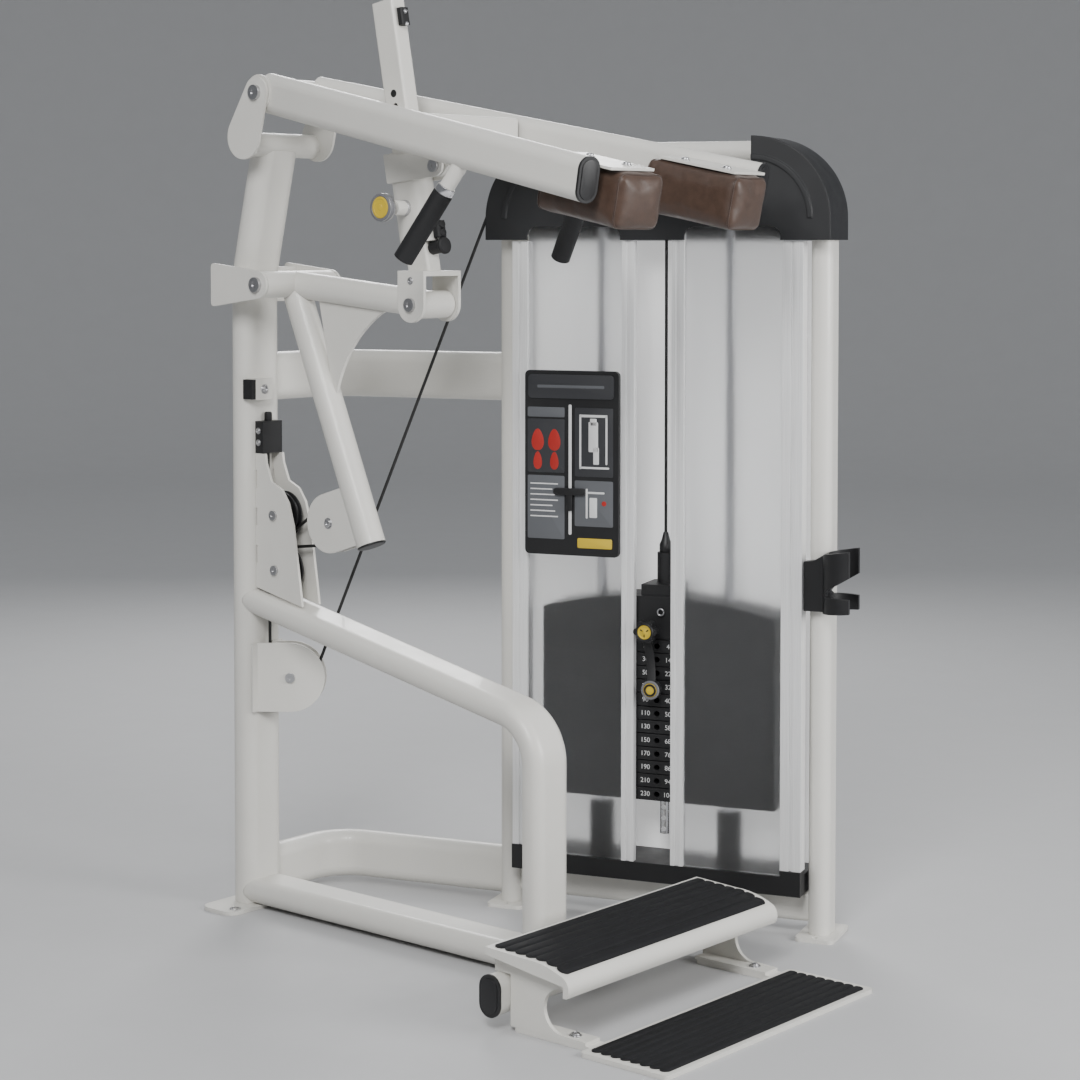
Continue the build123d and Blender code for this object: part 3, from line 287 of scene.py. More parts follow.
# ---------------------------------------------------------------- piece builders
def finish_piece(name, bm, matrix, look, body, smooth=40):
    """Object from a bmesh, placed by a matrix that is applied to the mesh."""
    bmesh.ops.recalc_face_normals(bm, faces=bm.faces)
    bm.transform(matrix)
    mesh = bpy.data.meshes.new(name)
    bm.to_mesh(mesh)
    bm.free()
    obj = bpy.data.objects.new(name, mesh)
    bpy.context.scene.collection.objects.link(obj)
    mesh.materials.append(M[look])
    mesh.shade_smooth()
    mesh.set_sharp_from_angle(angle=radians(smooth))
    if body:
        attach(obj, body)
    return obj


def mm(*points):
    """Points given in millimetres."""
    return [tuple(c / 1000 for c in point) for point in points]


def lathe(name, profile, matrix, look, body, segments=48, smooth=35):
    """Closed turned piece: profile of (radius, height) from the axis back to the axis."""
    bm = bmesh.new()
    rings = []
    for r, h in profile:
        if r < 1e-6:
            rings.append([bm.verts.new((0, 0, h))])
            continue
        rings.append([bm.verts.new((r * cos(2 * pi * k / segments), r * sin(2 * pi * k / segments), h))
                      for k in range(segments)])
    for a, b in zip(rings, rings[1:]):
        for k in range(segments):
            n = (k + 1) % segments
            if len(a) == 1:
                bm.faces.new((a[0], b[k], b[n]))
            elif len(b) == 1:
                bm.faces.new((a[k], b[0], a[n]))
            else:
                bm.faces.new((a[k], b[k], b[n], a[n]))
    return finish_piece(name, bm, matrix, look, body, smooth)


def slab(name, outline, low, high, matrix, look, body, bevel=0.0003):
    """Flat plate of any outline with softened edges."""
    bm = bmesh.new()
    face = bm.faces.new([bm.verts.new((x, y, low)) for x, y in outline])
    top = bmesh.ops.extrude_face_region(bm, geom=[face])["geom"]
    bmesh.ops.translate(bm, verts=[v for v in top if isinstance(v, bmesh.types.BMVert)],
                        vec=(0, 0, high - low))
    if bevel:
        rim = [e for e in bm.edges if all(abs(v.co.z - high) < 1e-7 for v in e.verts)]
        bmesh.ops.bevel(bm, geom=rim, offset=bevel, segments=2, affect="EDGES", profile=0.6)
    return finish_piece(name, bm, matrix, look, body)


def rounded(w, h, r, n=5, x=0.0, y=0.0):
    """Outline of a rounded rectangle about a centre."""
    points = []
    for cx, cy, a0 in ((1, 1, 0), (-1, 1, 90), (-1, -1, 180), (1, -1, 270)):
        for k in range(n + 1):
            a = radians(a0 + 90 * k / n)
            points.append((x + cx * (w / 2 - r) + r * cos(a), y + cy * (h / 2 - r) + r * sin(a)))
    return points


def tube(name, points, radius, look, body, cyclic=False, sides=10):
    """Round tube swept along points."""
    bm = bmesh.new()
    rings = []
    count = len(points)
    for i, p in enumerate(points):
        before = points[i - 1] if cyclic or i else points[0]
        after = points[(i + 1) % count] if cyclic or i < count - 1 else points[-1]
        along = (Vector(after) - Vector(before)).normalized()
        frame_here = facing(p, along, (0.31, 0.12, 0.94))
        rings.append([bm.verts.new(frame_here @ Vector((radius * cos(2 * pi * k / sides),
                                                        radius * sin(2 * pi * k / sides), 0)))
                      for k in range(sides)])
    pairs = list(zip(rings, rings[1:])) + ([(rings[-1], rings[0])] if cyclic else [])
    for a, b in pairs:
        for k in range(sides):
            n = (k + 1) % sides
            bm.faces.new((a[k], a[n], b[n], b[k]))
    if not cyclic:
        bm.faces.new(rings[0])
        bm.faces.new(rings[-1])
    return finish_piece(name, bm, Matrix.Identity(4), look, body, 60)


def socket_bolt(name, matrix, r, body, look="steel"):
    """Button-head bolt on a washer, with a round recess for its socket."""
    h = r * 0.55
    washer = [(0, -0.0004), (r * 1.3, -0.0004), (r * 1.32, 0.0006), (r * 1.26, 0.0012), (r * 0.6, 0.0013),
              (0, 0.0013)]
    lathe(name + "_washer", washer, matrix, look, body)
    raised = matrix @ Matrix.Translation((0, 0, 0.001))
    lathe(name, [(0, 0), (r * 0.98, 0), (r, h * 0.3), (r * 0.9, h * 0.72), (r * 0.68, h * 0.95),
                 (r * 0.5, h), (r * 0.46, h * 0.9), (r * 0.46, h * 0.35), (0, h * 0.3)],
          raised, look, body, segments=36)


# ---------------------------------------------------------------- shoulder pads
PAD_BLOCK = (0.110, 0.204, 0.095)       # before the cloth swells
PAD_ROUND, PAD_VOXEL, PAD_SWELL = 0.010, 0.005, 0.003
PAD_MIDDLE = (0, 0.105, -0.001)
CLOTH_FRAMES = 20
PIPING_R, PIPING_LIFT, PIPING_STEP = 0.0016, 0.0004, 0.008
SEAM_OUTLINE = (0.114, 0.100, 0.016)    # width, height and corner radius
SEAM_DEPTHS = (0.013, 0.197)
PAD_PLATE_TOP = 0.055
SIDES = ((-1, "near"), (1, "far"))


def pad_block(name, sign):
    """Boxed cushion a little smaller than its space, gridded for the cloth."""
    bm = bmesh.new()
    bmesh.ops.create_cube(bm, size=1.0, matrix=Matrix.Diagonal((*PAD_BLOCK, 1)))
    bmesh.ops.bevel(bm, geom=list(bm.edges), offset=PAD_ROUND, segments=4, affect="EDGES", profile=0.5)
    bmesh.ops.triangulate(bm, faces=bm.faces)
    place = pad_frame(sign) @ Matrix.Translation(PAD_MIDDLE)
    pad = finish_piece(name, bm, place, "leather", "arms", 180)
    with bpy.context.temp_override(object=pad, active_object=pad, selected_objects=[pad]):
        remesh = pad.modifiers.new("remesh", "REMESH")
        remesh.mode = "VOXEL"
        remesh.voxel_size = PAD_VOXEL
        bpy.ops.object.modifier_apply(modifier="remesh")
    return pad


def inflate(pad, cap):
    """Cloth under pressure, applied to the mesh with each point's move capped."""
    start = [v.co.copy() for v in pad.data.vertices]
    cloth = pad.modifiers.new("cloth", "CLOTH")
    cloth.settings.use_pressure = True
    cloth.settings.uniform_pressure_force = 4.0
    cloth.settings.effector_weights.gravity = 0.0
    cloth.settings.tension_stiffness = 25.0
    cloth.settings.compression_stiffness = 25.0
    scene = bpy.context.scene
    for step in range(1, CLOTH_FRAMES + 1):
        scene.frame_set(step)
    swollen = pad.evaluated_get(bpy.context.evaluated_depsgraph_get()).data
    moved = [v.co.copy() for v in swollen.vertices]
    pad.modifiers.remove(cloth)
    scene.frame_set(1)
    for v, a, b in zip(pad.data.vertices, start, moved):
        way = b - a
        v.co = a + way * min(1.0, cap / max(way.length, 1e-9))


def smooth_over(pad):
    """Slack taken out of the cloth, then one level of subdivision, both applied."""
    with bpy.context.temp_override(object=pad, active_object=pad, selected_objects=[pad]):
        taut = pad.modifiers.new("taut", "SMOOTH")
        taut.factor, taut.iterations = 0.5, 10
        bpy.ops.object.modifier_apply(modifier="taut")
        pad.modifiers.new("sub", "SUBSURF").levels = 1
        bpy.ops.object.modifier_apply(modifier="sub")
    pad.data.shade_smooth()


def seam(name, pad, frame_here, depth):
    """Piping that follows the cushion's skin round a section at one depth."""
    tree = BVHTree.FromPolygons([v.co for v in pad.data.vertices], [p.vertices for p in pad.data.polygons])
    path = []
    for x, z in rounded(*SEAM_OUTLINE, 6):
        spot = frame_here @ Vector((x * 1.1, depth, z * 1.1))
        middle = frame_here @ Vector((x * 0.2, depth, z * 0.2))
        hit = tree.ray_cast(spot, (middle - spot).normalized())[0]
        if hit:
            path.append(hit + (spot - middle).normalized() * PIPING_LIFT)
    dense = []
    for a, b in zip(path, path[1:] + path[:1]):
        steps = max(1, int((b - a).length / PIPING_STEP))
        for k in range(steps):
            skin, normal = tree.find_nearest(a.lerp(b, k / steps))[:2]
            dense.append(skin + normal * PIPING_LIFT)
    return tube(name, dense, PIPING_R, "piping", "arms", cyclic=True, sides=8)


for sign, label in SIDES:
    cushion = pad_block(f"shoulder_pad_{label}", sign)
    inflate(cushion, PAD_SWELL)
    smooth_over(cushion)
    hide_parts("pads")
    top = pad_frame(sign)
    for depth in SEAM_DEPTHS:
        seam(f"piping_{label}_{int(depth * 1000)}", cushion, top, depth)
    up = top.to_3x3() @ Vector((0, 0, 1))
    for along in (0.060, 0.150):
        spot = top @ Vector((-sign * 0.010, along, PAD_PLATE_TOP))
        socket_bolt(f"pad_bolt_{label}_{int(along * 1000)}", facing(spot, up, (0, 1, 0)), 0.007, "arms")

# ---------------------------------------------------------------- arms
HANDLE_START, HANDLE_END = (0.186, -0.742, 1.512), (0.223, -0.633, 1.339)
COLLAR_ALONG = 0.050
ARM_END, ARM_CAP_T = (0.252, -1.087, 1.476), 0.0048
COLLAR = mm((14.7, 0), (17.2, 1), (17.8, 4), (17.8, 12), (16.8, 15.2), (14.7, 15.5), (14.7, 0))
GRIP_END = mm((0, 0), (17.5, 0), (18.6, 1), (15, 2.8), (0, 3.4))


def mirrored(point, sign):
    """Point of the +X side, on the side of the sign."""
    return Vector((sign * point[0], point[1], point[2]))


for sign, label in SIDES:
    start, end = mirrored(HANDLE_START, sign), mirrored(HANDLE_END, sign)
    way = (end - start).normalized()
    lathe(f"grip_collar_{label}", COLLAR, facing(start + way * COLLAR_ALONG, way), "chrome", "arms")
    lathe(f"grip_end_{label}", GRIP_END, facing(end - way * 0.0005, way), "black", "arms")
    arm_way = mirrored((ARM_SPREAD, -ARM_RUN, -ARM_DROP), sign).normalized()
    cap = facing(mirrored(ARM_END, sign) + arm_way * ARM_CAP_T, arm_way)
    slab(f"arm_cap_face_{label}", rounded(0.034, 0.070, 0.0168, 8), 0, 0.0016, cap, "black", "arms",
         0.0010)

# ---------------------------------------------------------------- link
PIN_UP, KNOB_OUT = 0.189, 0.0855        # height of the pull pin along the link, and of its knob from the axis
POST_HALF, POST_TOP, LAST_HOLE_UP = 0.019, 0.597, 0.414
SLEEVE_FACE = -0.0605                   # front of the bumpers' block, from the link's axis
AHEAD = LINK.to_3x3() @ Vector((0, -1, 0))
PULL_KNOB = mm((13.2, 0), (20, 0), (26.2, 1.6), (27.4, 4.6), (27.6, 9.5), (26.2, 13.5), (22.5, 14.8),
               (21.5, 13.9), (0, 13.7))
PULL_FACE = mm((0, 13.4), (20.5, 13.4), (20.8, 14.5), (19.5, 15.2), (16.5, 15.3), (15.8, 14.6), (6, 14.6),
               (5.2, 15.2), (0, 15.3))
PULL_BOSS = mm((6.4, 28.5), (13.6, 28.5), (15.2, 30), (15.2, 36), (13, 38.5), (13, 45.5), (6.4, 45.5),
               (6.4, 28.5))
POST_PLUG = mm((0, -0.4), (7.4, -0.4), (7.5, 0.5), (6.4, 0.9), (0, 0.6))
RIB = mm((0, -1), (8, -1), (8.5, 0.6), (7, 3), (0, 4))
STOP_BUTTON = mm((0, -1), (15, -1), (16.8, 1.5), (16.8, 6), (14.5, 8.5), (6, 9.5), (0, 9.6))

knob_frame = facing(LINK @ Vector((-KNOB_OUT, 0, PIN_UP)), (-1, 0, 0))
lathe("pull_knob", PULL_KNOB, knob_frame, "grey", "pull_pin")
lathe("pull_knob_face", PULL_FACE, knob_frame, "yellow", "pull_pin")
lathe("pull_boss", PULL_BOSS, facing(LINK @ Vector((0, 0, PIN_UP)), (-1, 0, 0)), "steel", "link")
lathe("post_plug", POST_PLUG, facing(LINK @ Vector((-POST_HALF, 0, LAST_HOLE_UP)), (-1, 0, 0)), "black",
      "link", 28)
slab("post_cap", rounded(0.036, 0.054, 0.006), 0, 0.0006, LINK @ Matrix.Translation((0, 0, POST_TOP)),
     "black", "link", 0.0002)
for k, up in enumerate((0.543, 0.568)):
    socket_bolt(f"post_bumper_screw_{k}", facing(LINK @ Vector((0, -0.0418, up)), AHEAD), 0.0035, "link")
socket_bolt("fork_screw", facing((-0.053, -0.490, 1.296), (-1, 0, 0)), 0.0055, "link")
for up in (0.130, 0.146):
    lathe(f"sleeve_bumper_{int(up * 1000)}", RIB, facing(LINK @ Vector((0, SLEEVE_FACE, up)), AHEAD),
          "rubber", "link", 28)
lathe("stop_button", STOP_BUTTON, facing(LINK @ Vector((0, -0.0557, 0.105)), AHEAD), "rubber", "link")

# ---------------------------------------------------------------- lever and cable drive
CABLE_R, GROOVE_R = 0.0032, 0.044
UPPER_PULLEY = Vector((-0.082, 0.814))  # (Y, Z), as the other pulleys
LOWER_PULLEY = Vector((-0.085, 0.702))
LEG_PULLEY = Vector((-0.229, 0.808))
LEG_END, LEG_WAY = Vector((0, -0.333, 0.772)), Vector((0, -0.215, -0.513)).normalized()
CHEEK_X = 0.017
LEG_CAP = mm((0, -3), (25.6, -3), (25.8, 0), (28.8, 0.2), (29, 2.2), (27, 4), (0, 5.2))
STUD = mm((0, 0), (7.5, 0), (8, 1), (8, 16), (6, 18.5), (0, 19))

lathe("leg_end_cap", LEG_CAP, facing(LEG_END, LEG_WAY), "black", "lever")
for sign, label in SIDES:
    socket_bolt(f"leg_pulley_bolt_{label}", facing((sign * CHEEK_X, *LEG_PULLEY), (sign, 0, 0)), 0.0085,
                "lever")
for k, z in enumerate((0.960, 0.984)):
    socket_bolt(f"clamp_screw_{k}", facing((-0.027, -0.038, z), (-1, 0, 0)), 0.0050, "frame")
lathe("cable_stud", STUD, facing((0, -0.0385, 1.0035), (0, 0, 1)), "rubber", "frame", 6, 25)
socket_bolt("stop_block_screw", facing((-0.020, -0.049, 1.070), (0, -1, 0)), 0.0075, "frame")


def crossing_run(start, end, side):
    """Ends (Y, Z) of the straight cable that crosses over between two pulleys of one size."""
    way = end - start
    turn = atan2(way.y, way.x) + side * acos(2 * GROOVE_R / way.length)
    reach = GROOVE_R * Vector((cos(turn), sin(turn)))
    return start + reach, end - reach


def leg_cable_route(steps=24):
    """Cable from the upper pulley round the leg pulley to the lower one, as (Y, Z) points."""
    first, onto = crossing_run(UPPER_PULLEY, LEG_PULLEY, 1)
    last, off = crossing_run(LOWER_PULLEY, LEG_PULLEY, -1)
    a0 = atan2(*reversed(onto - LEG_PULLEY))
    a1 = atan2(*reversed(off - LEG_PULLEY)) + 2 * pi
    wrap = [LEG_PULLEY + GROOVE_R * Vector((cos(a), sin(a)))
            for a in (a0 + (a1 - a0) * k / steps for k in range(1, steps))]
    return ([first.lerp(onto, k / steps) for k in range(steps + 1)] + wrap
            + [off.lerp(last, k / steps) for k in range(steps + 1)])


leg_cable = tube("leg_cable_run", [(0, y, z) for y, z in leg_cable_route()], CABLE_R, "cable", None)
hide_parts("leg_cable")
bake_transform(leg_cable)

# ---------------------------------------------------------------- steps
CROWN = ((-1.000, 0.1456), (-1.047, 0.1409), (-1.078, 0.1310))      # (Y, Z) on the curved part of the mat
BACK_EDGE = (-0.914, 0.1497)
MAT_HALF, GROOVE, TONGUE = 0.300, 0.0024, 0.010
RIB_SHAPE = ((0.0, 1.0), (0.06, 1.0), (0.12, 0.45), (0.19, 0.06), (0.28, 0.0), (0.50, -0.03), (0.72, 0.0),
             (0.81, 0.06), (0.88, 0.45), (0.94, 1.0))               # share of the pitch, share of the groove
ANCHOR = mm((6.8, 7.6), (11.5, 8.1), (11.8, 9.2), (7, 9.8), (6.8, 7.6))


def upper_surface(y):
    """Height of the upper mat's crown over its depth."""
    a, b, c = CROWN
    if y >= a[0]:
        return BACK_EDGE[1] + (y - BACK_EDGE[0]) / (a[0] - BACK_EDGE[0]) * (a[1] - BACK_EDGE[1])
    t = (y - b[0]) * (y - c[0]) / ((a[0] - b[0]) * (a[0] - c[0])) * a[1]
    t += (y - a[0]) * (y - c[0]) / ((b[0] - a[0]) * (b[0] - c[0])) * b[1]
    return t + (y - a[0]) * (y - b[0]) / ((c[0] - a[0]) * (c[0] - b[0])) * c[1]


def ribbed_mat(name, y0, y1, ribs, surface, thick):
    """Rubber mat with flat ribs across the depth; the grooves run along X and end in rounded tongues."""
    pitch = (y1 - y0) / ribs
    sections = [(y0 + (k + t) * pitch, d, k + t) for k in range(ribs) for t, d in RIB_SHAPE]
    sections.append((y1, 1.0, ribs))
    bm = bmesh.new()
    columns = []
    for end, share in ((-1, 0.0), (-1, 0.35), (-1, 0.8), (-1, 1.0), (1, 1.0), (1, 0.8), (1, 0.35), (1, 0.0)):
        row = []
        for y, d, phase in sections:
            tongue = TONGUE * (abs(sin(pi * phase)) ** 0.7)
            x = end * (MAT_HALF - 0.012 + tongue * 0.9 + (1 - share) * 0.002)
            sunk = max(d, 1.0 - share) if share < 1 else d
            row.append(bm.verts.new((x - end * share * 0.004, y, surface(y) - GROOVE * max(0.0, sunk))))
        row_low = [bm.verts.new((v.co.x, v.co.y, surface(v.co.y) - thick)) for v in row]
        columns.append((row, row_low))
    for (a, al), (b, bl) in zip(columns, columns[1:]):
        for i in range(len(a) - 1):
            bm.faces.new((a[i], a[i + 1], b[i + 1], b[i]))
            bm.faces.new((al[i], bl[i], bl[i + 1], al[i + 1]))
        bm.faces.new((a[0], b[0], bl[0], al[0]))
        bm.faces.new((a[-1], al[-1], bl[-1], b[-1]))
    for row, low in (columns[0], columns[-1]):
        for i in range(len(row) - 1):
            bm.faces.new((row[i], low[i], low[i + 1], row[i + 1]))
    mat = finish_piece(name, bm, Matrix.Identity(4), "mat", "frame", 30)
    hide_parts("step_mats")


ribbed_mat("upper_step_mat", -0.9145, -1.0785, 7, upper_surface, 0.0037)
ribbed_mat("lower_step_mat", -1.1315, -1.2965, 8, lambda y: 0.0120, 0.0038)
for sign, label in SIDES:
    socket_bolt(f"step_bolt_{label}", facing((sign * 0.264, -1.074, 0.0142), (0, 0, 1), (0, 1, 0)), 0.0085,
                "frame")
for sign, label in SIDES:
    lathe(f"anchor_column_{label}", ANCHOR, facing((sign * 0.088, -0.028, 0), (0, 0, 1), (0, 1, 0)), "steel",
          "frame")
for sign, label in SIDES:
    slab(f"tube_cap_face_{label}", rounded(0.036, 0.064, 0.0178, 8), 0, 0.0012,
         facing((sign * 0.3124, -0.920, 0.062), (sign, 0, 0)), "black", "frame", 0.0008)

# ---------------------------------------------------------------- weight stack
STACK_S, KNOB_S = 0.328, 0.338          # along the tower's front
PLATES, RESTING, PLATE_LOW, PLATE_PITCH, PLATE_HALF_T = 12, 8, 0.250, 0.0272, 0.0127
PLATE_FACE, LABEL_LIFT, LABEL_SIZE = 0.052, 0.0003, 0.0135
LABEL_COLUMNS = (("left", 0.3525, 1.0), ("right", 0.3045, 0.45))    # place, share of the weight
LIGHTEST, WEIGHT_STEP = 10, 20
HOLE_RIM = mm((5.8, -0.5), (8.2, -0.5), (8, 0.4), (6, 0.5), (5.8, -0.5))
KNOB_RIM = mm((14.2, -0.4), (18.6, -0.4), (18.8, 1), (17.6, 2.4), (15.2, 2.5), (14.2, 1.4), (14.2, -0.4))
KNOB_FACE = mm((0, -0.4), (14, -0.4), (14.4, 0.6), (13.6, 1.6), (12, 1.7), (11, 1), (4.5, 1), (3.6, 1.6),
               (0, 1.7))
KNOB_MARK = mm((4, -0.9), (9.8, -1.4), (9.8, 1.4), (4, 0.9))
PIN_RING = mm((14, -0.4), (18.8, -0.4), (19.1, 1), (18, 2.8), (14.6, 3), (14, 1.8), (14, -0.4))
PIN_FACE = mm((0, -0.3), (14.1, -0.3), (14.1, 1.4), (12, 2.2), (0, 2.6))
PIN_CLIP = mm((10, 2), (12.5, 2.2), (12.5, 3.4), (10, 3.6), (8.5, 3.4), (10, 2))
SOCKET = mm((3.4, 0), (12, 0), (12.8, 2), (12.8, 16), (9, 24), (5, 40), (3.4, 41), (3.4, 0))
HEAD = on_tower(KNOB_S, 0.5964, 0.1000)
PIN = on_tower(STACK_S, 0.4803, 0.0920)


def number(name, text, s, z, body):
    """Plain number standing just proud of a plate's edge."""
    curve = bpy.data.curves.new(name, "FONT")
    curve.body = text
    curve.size = LABEL_SIZE
    curve.extrude = LABEL_LIFT / 2
    curve.align_x, curve.align_y = "CENTER", "CENTER"
    obj = bpy.data.objects.new(name, curve)
    bpy.context.scene.collection.objects.link(obj)
    obj.matrix_world = on_tower(s, z, PLATE_FACE + LABEL_LIFT)
    curve.materials.append(M["print_white"])
    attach(obj, body)


for i in range(PLATES):
    z = PLATE_LOW + i * PLATE_PITCH + PLATE_HALF_T
    body = "frame" if i < RESTING else "stack"
    heavy = LIGHTEST + WEIGHT_STEP * (PLATES - 1 - i)
    for side, s, share in LABEL_COLUMNS:
        number(f"label_{side}_{i}", str(round(heavy * share)), s, z, body)
    lathe(f"plate_hole_rim_{i}", HOLE_RIM, on_tower(STACK_S, z, PLATE_FACE), "plate", body, 28)

lathe("knob_rim", KNOB_RIM, HEAD, "black", "head_knob")
lathe("knob_face", KNOB_FACE, HEAD, "yellow", "head_knob")
for k in range(3):
    turned = HEAD @ Matrix.Rotation(2 * pi * k / 3 + 0.5, 4, "Z")
    slab(f"knob_mark_{k}", KNOB_MARK, 0.0009, 0.0014, turned, "black", "head_knob", 0.0002)
lathe("pin_ring", PIN_RING, PIN, "grey", "selector_pin")
lathe("pin_face", PIN_FACE, PIN, "yellow", "selector_pin")
lathe("pin_clip", PIN_CLIP, PIN, "black", "selector_pin")

STRAP_SECTION = ((-1, -1), (-1, 1), (-0.7, 1.6), (0.7, 1.6), (1, 1), (1, -1))
STRAP_HALF_W, STRAP_HALF_T, STRAP_DEPTH, STRAP_SAG = 0.0090, 0.0012, 0.0865, 0.009
STRAP_TOP, STRAP_LENGTH, STRAP_STEPS = 0.578, 0.080, 24
strap = bmesh.new()
rows = []
for k in range(STRAP_STEPS + 1):
    t = k / STRAP_STEPS
    s = KNOB_S + (STACK_S - KNOB_S) * t
    depth = STRAP_DEPTH - STRAP_SAG * sin(pi * t)
    rows.append([strap.verts.new(TOWER @ Vector((s + u * STRAP_HALF_W, depth + v * STRAP_HALF_T,
                                                 STRAP_TOP - STRAP_LENGTH * t))) for u, v in STRAP_SECTION])
for a, b in zip(rows, rows[1:]):
    for k in range(len(STRAP_SECTION)):
        n = (k + 1) % len(STRAP_SECTION)
        strap.faces.new((a[k], a[n], b[n], b[k]))
strap.faces.new(rows[0])
strap.faces.new(rows[-1])
band = finish_piece("pin_strap", strap, Matrix.Identity(4), "rubber", None, 30)
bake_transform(band)

EYE_S, EYE_Z, EYE_DEPTH, EYE_R = 0.318, 0.632, 0.0595, 0.0065
eye = [TOWER @ Vector((EYE_S + EYE_R * cos(a), EYE_DEPTH, EYE_Z + EYE_R * sin(a)))
       for a in (2 * pi * k / 20 for k in range(20))]
tube("head_eye", eye, 0.0016, "steel", "stack", cyclic=True)
CABLE_LOW, CABLE_TOP, STACK_TRAVEL = 0.7455, 1.440, 0.302
CABLE_LENGTH = CABLE_TOP - CABLE_LOW
cable_foot = facing(TOWER @ Vector((STACK_S, 0, CABLE_LOW)), (0, 0, 1))
lathe("cable_socket", SOCKET, cable_foot, "black", "stack")
stack_cable = lathe("stack_cable_run", [(0, 0), (CABLE_R, 0), (CABLE_R, CABLE_LENGTH), (0, CABLE_LENGTH)],
                    cable_foot, "cable", "frame", 16)
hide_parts("stack_cable")
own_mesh(stack_cable)

# ---------------------------------------------------------------- placard
PLACARD_FACE = 0.085
FIELDS = (                              # name, two edges along the front, two heights, look, lift, corner
    ("header", 0.592, 0.408, 1.056, 1.104, "print_dark", 0.0030, 0.008),
    ("header_rule", 0.572, 0.428, 1.077, 1.083, "print_grey", 0.0034, 0.002),
    ("title", 0.594, 0.514, 1.018, 1.038, "print_grey", 0.0008, 0.003),
    ("left_field", 0.594, 0.514, 0.906, 1.014, "print_dark", 0.0008, 0.003),
    ("right_field", 0.492, 0.410, 0.900, 1.038, "print_dark", 0.0008, 0.003),
    ("notes_field", 0.594, 0.514, 0.772, 0.900, "print_grey", 0.0008, 0.003),
    ("lower_right", 0.492, 0.410, 0.800, 0.892, "print_grey", 0.0008, 0.003),
    ("tag", 0.486, 0.412, 0.756, 0.776, "yellow", 0.0010, 0.003),
    ("track", 0.505, 0.499, 0.782, 1.044, "print_white", 0.0012, 0.0025),
    ("slider", 0.536, 0.468, 0.862, 0.876, "black", 0.0070, 0.006),
    ("slider_stem", 0.508, 0.496, 0.830, 0.870, "black", 0.0060, 0.004),
)
MUSCLES = (("upper", 0.972, 0.013, 0.044), ("lower", 0.930, 0.009, 0.036))      # height, half width, length
FIGURE_BARS = (                         # centre along the front, centre height, width, height
    (0.480, 0.970, 0.004, 0.110), (0.424, 0.975, 0.004, 0.100), (0.452, 1.022, 0.060, 0.005),
    (0.450, 0.918, 0.064, 0.004), (0.452, 0.980, 0.020, 0.060), (0.446, 0.942, 0.012, 0.034),
    (0.452, 1.010, 0.014, 0.014), (0.466, 0.846, 0.004, 0.060), (0.446, 0.868, 0.036, 0.004),
    (0.452, 0.838, 0.016, 0.040),
)
LINES, LINE_TOP, LINE_PITCH, LINE_T = 7, 0.882, 0.011, 0.0025


def print_area(name, s0, s1, z0, z1, look, lift, radius):
    """Raised flat field on the placard."""
    slab(f"placard_{name}", rounded(abs(s1 - s0), abs(z1 - z0), radius, 4), -0.0002, lift,
         on_tower((s0 + s1) / 2, (z0 + z1) / 2, PLACARD_FACE), look, "frame", 0.0002)


for field in FIELDS:
    print_area(*field)
for k, s in enumerate((0.572, 0.536)):
    for part, z, w, h in MUSCLES:
        turns = [2 * pi * i / 28 for i in range(28)]
        outline = [(w * cos(a) * (1 - 0.25 * sin(a)), h / 2 * sin(a)) for a in turns]
        slab(f"placard_calf_{k}_{part}", outline, 0.0006, 0.0013, on_tower(s, z, PLACARD_FACE), "print_red",
             "frame", 0.0003)
for k in range(LINES):
    z = LINE_TOP - k * LINE_PITCH
    print_area(f"line_{k}", 0.588, 0.528 + 0.006 * ((k * 5) % 3), z, z + LINE_T, "print_white", 0.0011, 0.001)
for k, (s, z, w, h) in enumerate(FIGURE_BARS):
    print_area(f"figure_{k}", s + w / 2, s - w / 2, z - h / 2, z + h / 2, "print_white", 0.0013, 0.0018)
print_area("dot", 0.434, 0.424, 0.842, 0.852, "print_red", 0.0013, 0.0049)

# ---------------------------------------------------------------- stage, light and camera
FLOOR_R, CURVE_R, WALL_TOP, BOWL_SIDES = 9.0, 5.0, 12.0, 96


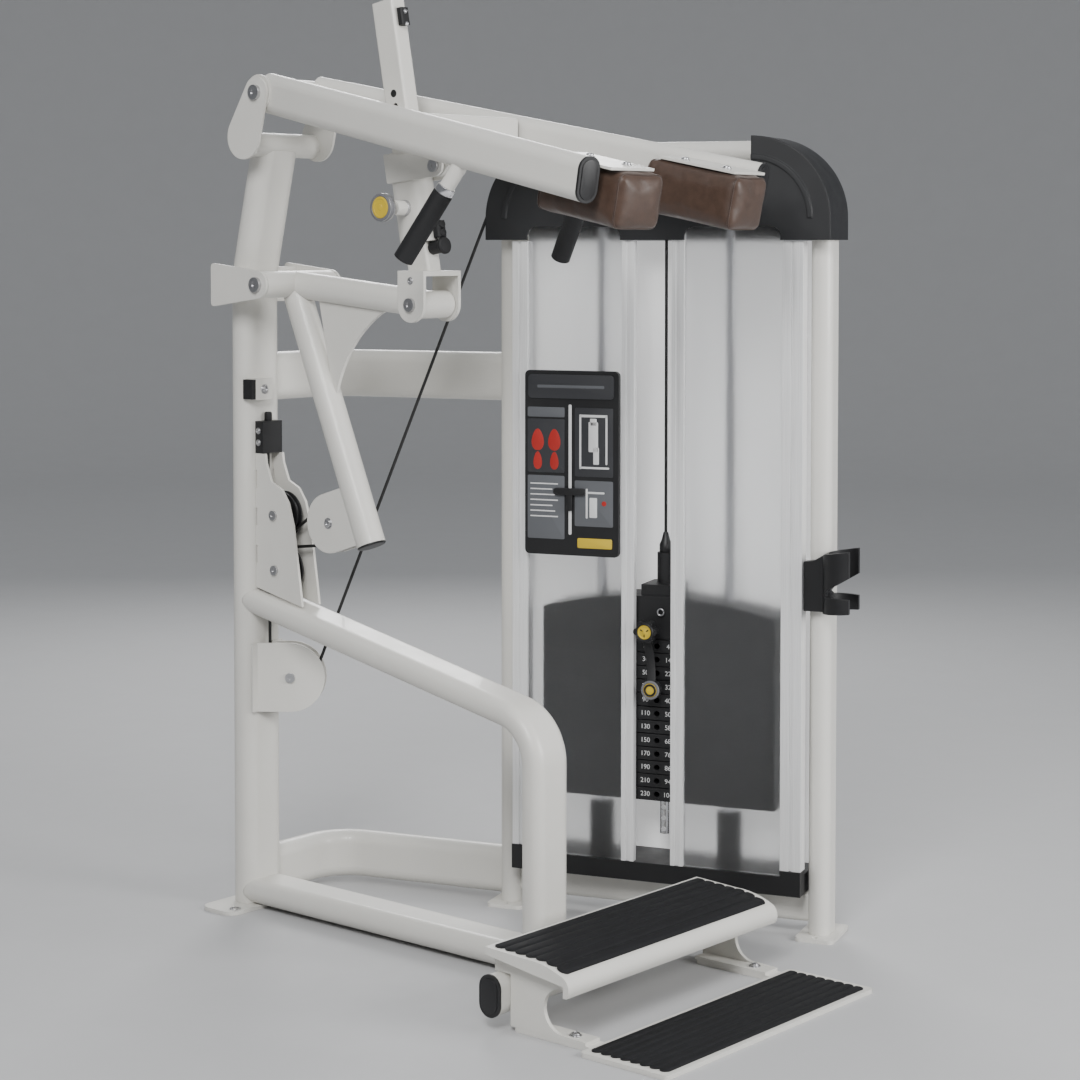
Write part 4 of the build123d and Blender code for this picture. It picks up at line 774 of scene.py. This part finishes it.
def backdrop():
    """Floor that curves up into a wall all round, so that no horizon shows."""
    profile = [(FLOOR_R, 0.0)]
    for a in range(6, 91, 6):
        profile.append((FLOOR_R + CURVE_R * sin(radians(a)), CURVE_R - CURVE_R * cos(radians(a))))
    profile.append((FLOOR_R + CURVE_R, WALL_TOP))
    turns = [2 * pi * k / BOWL_SIDES for k in range(BOWL_SIDES)]
    points = [(r * cos(a), r * sin(a), h) for r, h in profile for a in turns]
    faces = [tuple(range(BOWL_SIDES))]
    for row in range(len(profile) - 1):
        low, high = row * BOWL_SIDES, (row + 1) * BOWL_SIDES
        for k in range(BOWL_SIDES):
            n = (k + 1) % BOWL_SIDES
            faces.append((low + k, high + k, high + n, low + n))
    mesh = bpy.data.meshes.new("floor")
    mesh.from_pydata(points, [], faces)
    mesh.shade_smooth()
    paint = coated("floor_paint", (0.50, 0.50, 0.505), 0.75, 60.0, 0.03, 0.0005, 0.0, spread=0.01)
    mesh.materials.append(paint)
    floor = bpy.data.objects.new("floor", mesh)
    bpy.context.scene.collection.objects.link(floor)


def soft_light(name, spot, aim, size, watts):
    """Large area light aimed at a point."""
    data = bpy.data.lights.new(name, "AREA")
    data.shape = "RECTANGLE"
    data.size, data.size_y = size
    data.energy = watts
    lamp = bpy.data.objects.new(name, data)
    lamp.location = spot
    lamp.rotation_euler = (Vector(aim) - Vector(spot)).to_track_quat("-Z", "Y").to_euler()
    bpy.context.scene.collection.objects.link(lamp)


backdrop()
world = bpy.data.worlds.new("studio")
bpy.context.scene.world = world
world.use_nodes = True
world.node_tree.nodes["Background"].inputs["Color"].default_value = (0.94, 0.97, 1.0, 1)
world.node_tree.nodes["Background"].inputs["Strength"].default_value = 0.62
soft_light("key", (-3.2, -2.6, 3.4), (0.1, -0.6, 0.9), (1.6, 1.6), 165)
soft_light("front_fill", (1.0, -4.6, 1.8), (0.2, -0.6, 0.9), (2.0, 1.6), 140)
soft_light("rim", (3.0, 2.2, 2.8), (0.2, -0.5, 1.0), (1.6, 1.6), 90)

camera_data = bpy.data.cameras.new("camera")
camera = bpy.data.objects.new("camera", camera_data)
bpy.context.scene.collection.objects.link(camera)
camera.location = (-3.452, -3.700, 1.375)
camera.rotation_euler = (radians(90 - 2.4973), 0, -radians(49.2917))
camera_data.sensor_width = 36
camera_data.lens = 81.51
camera_data.shift_x = 0.01508
camera_data.shift_y = -0.1795
bpy.context.scene.camera = camera
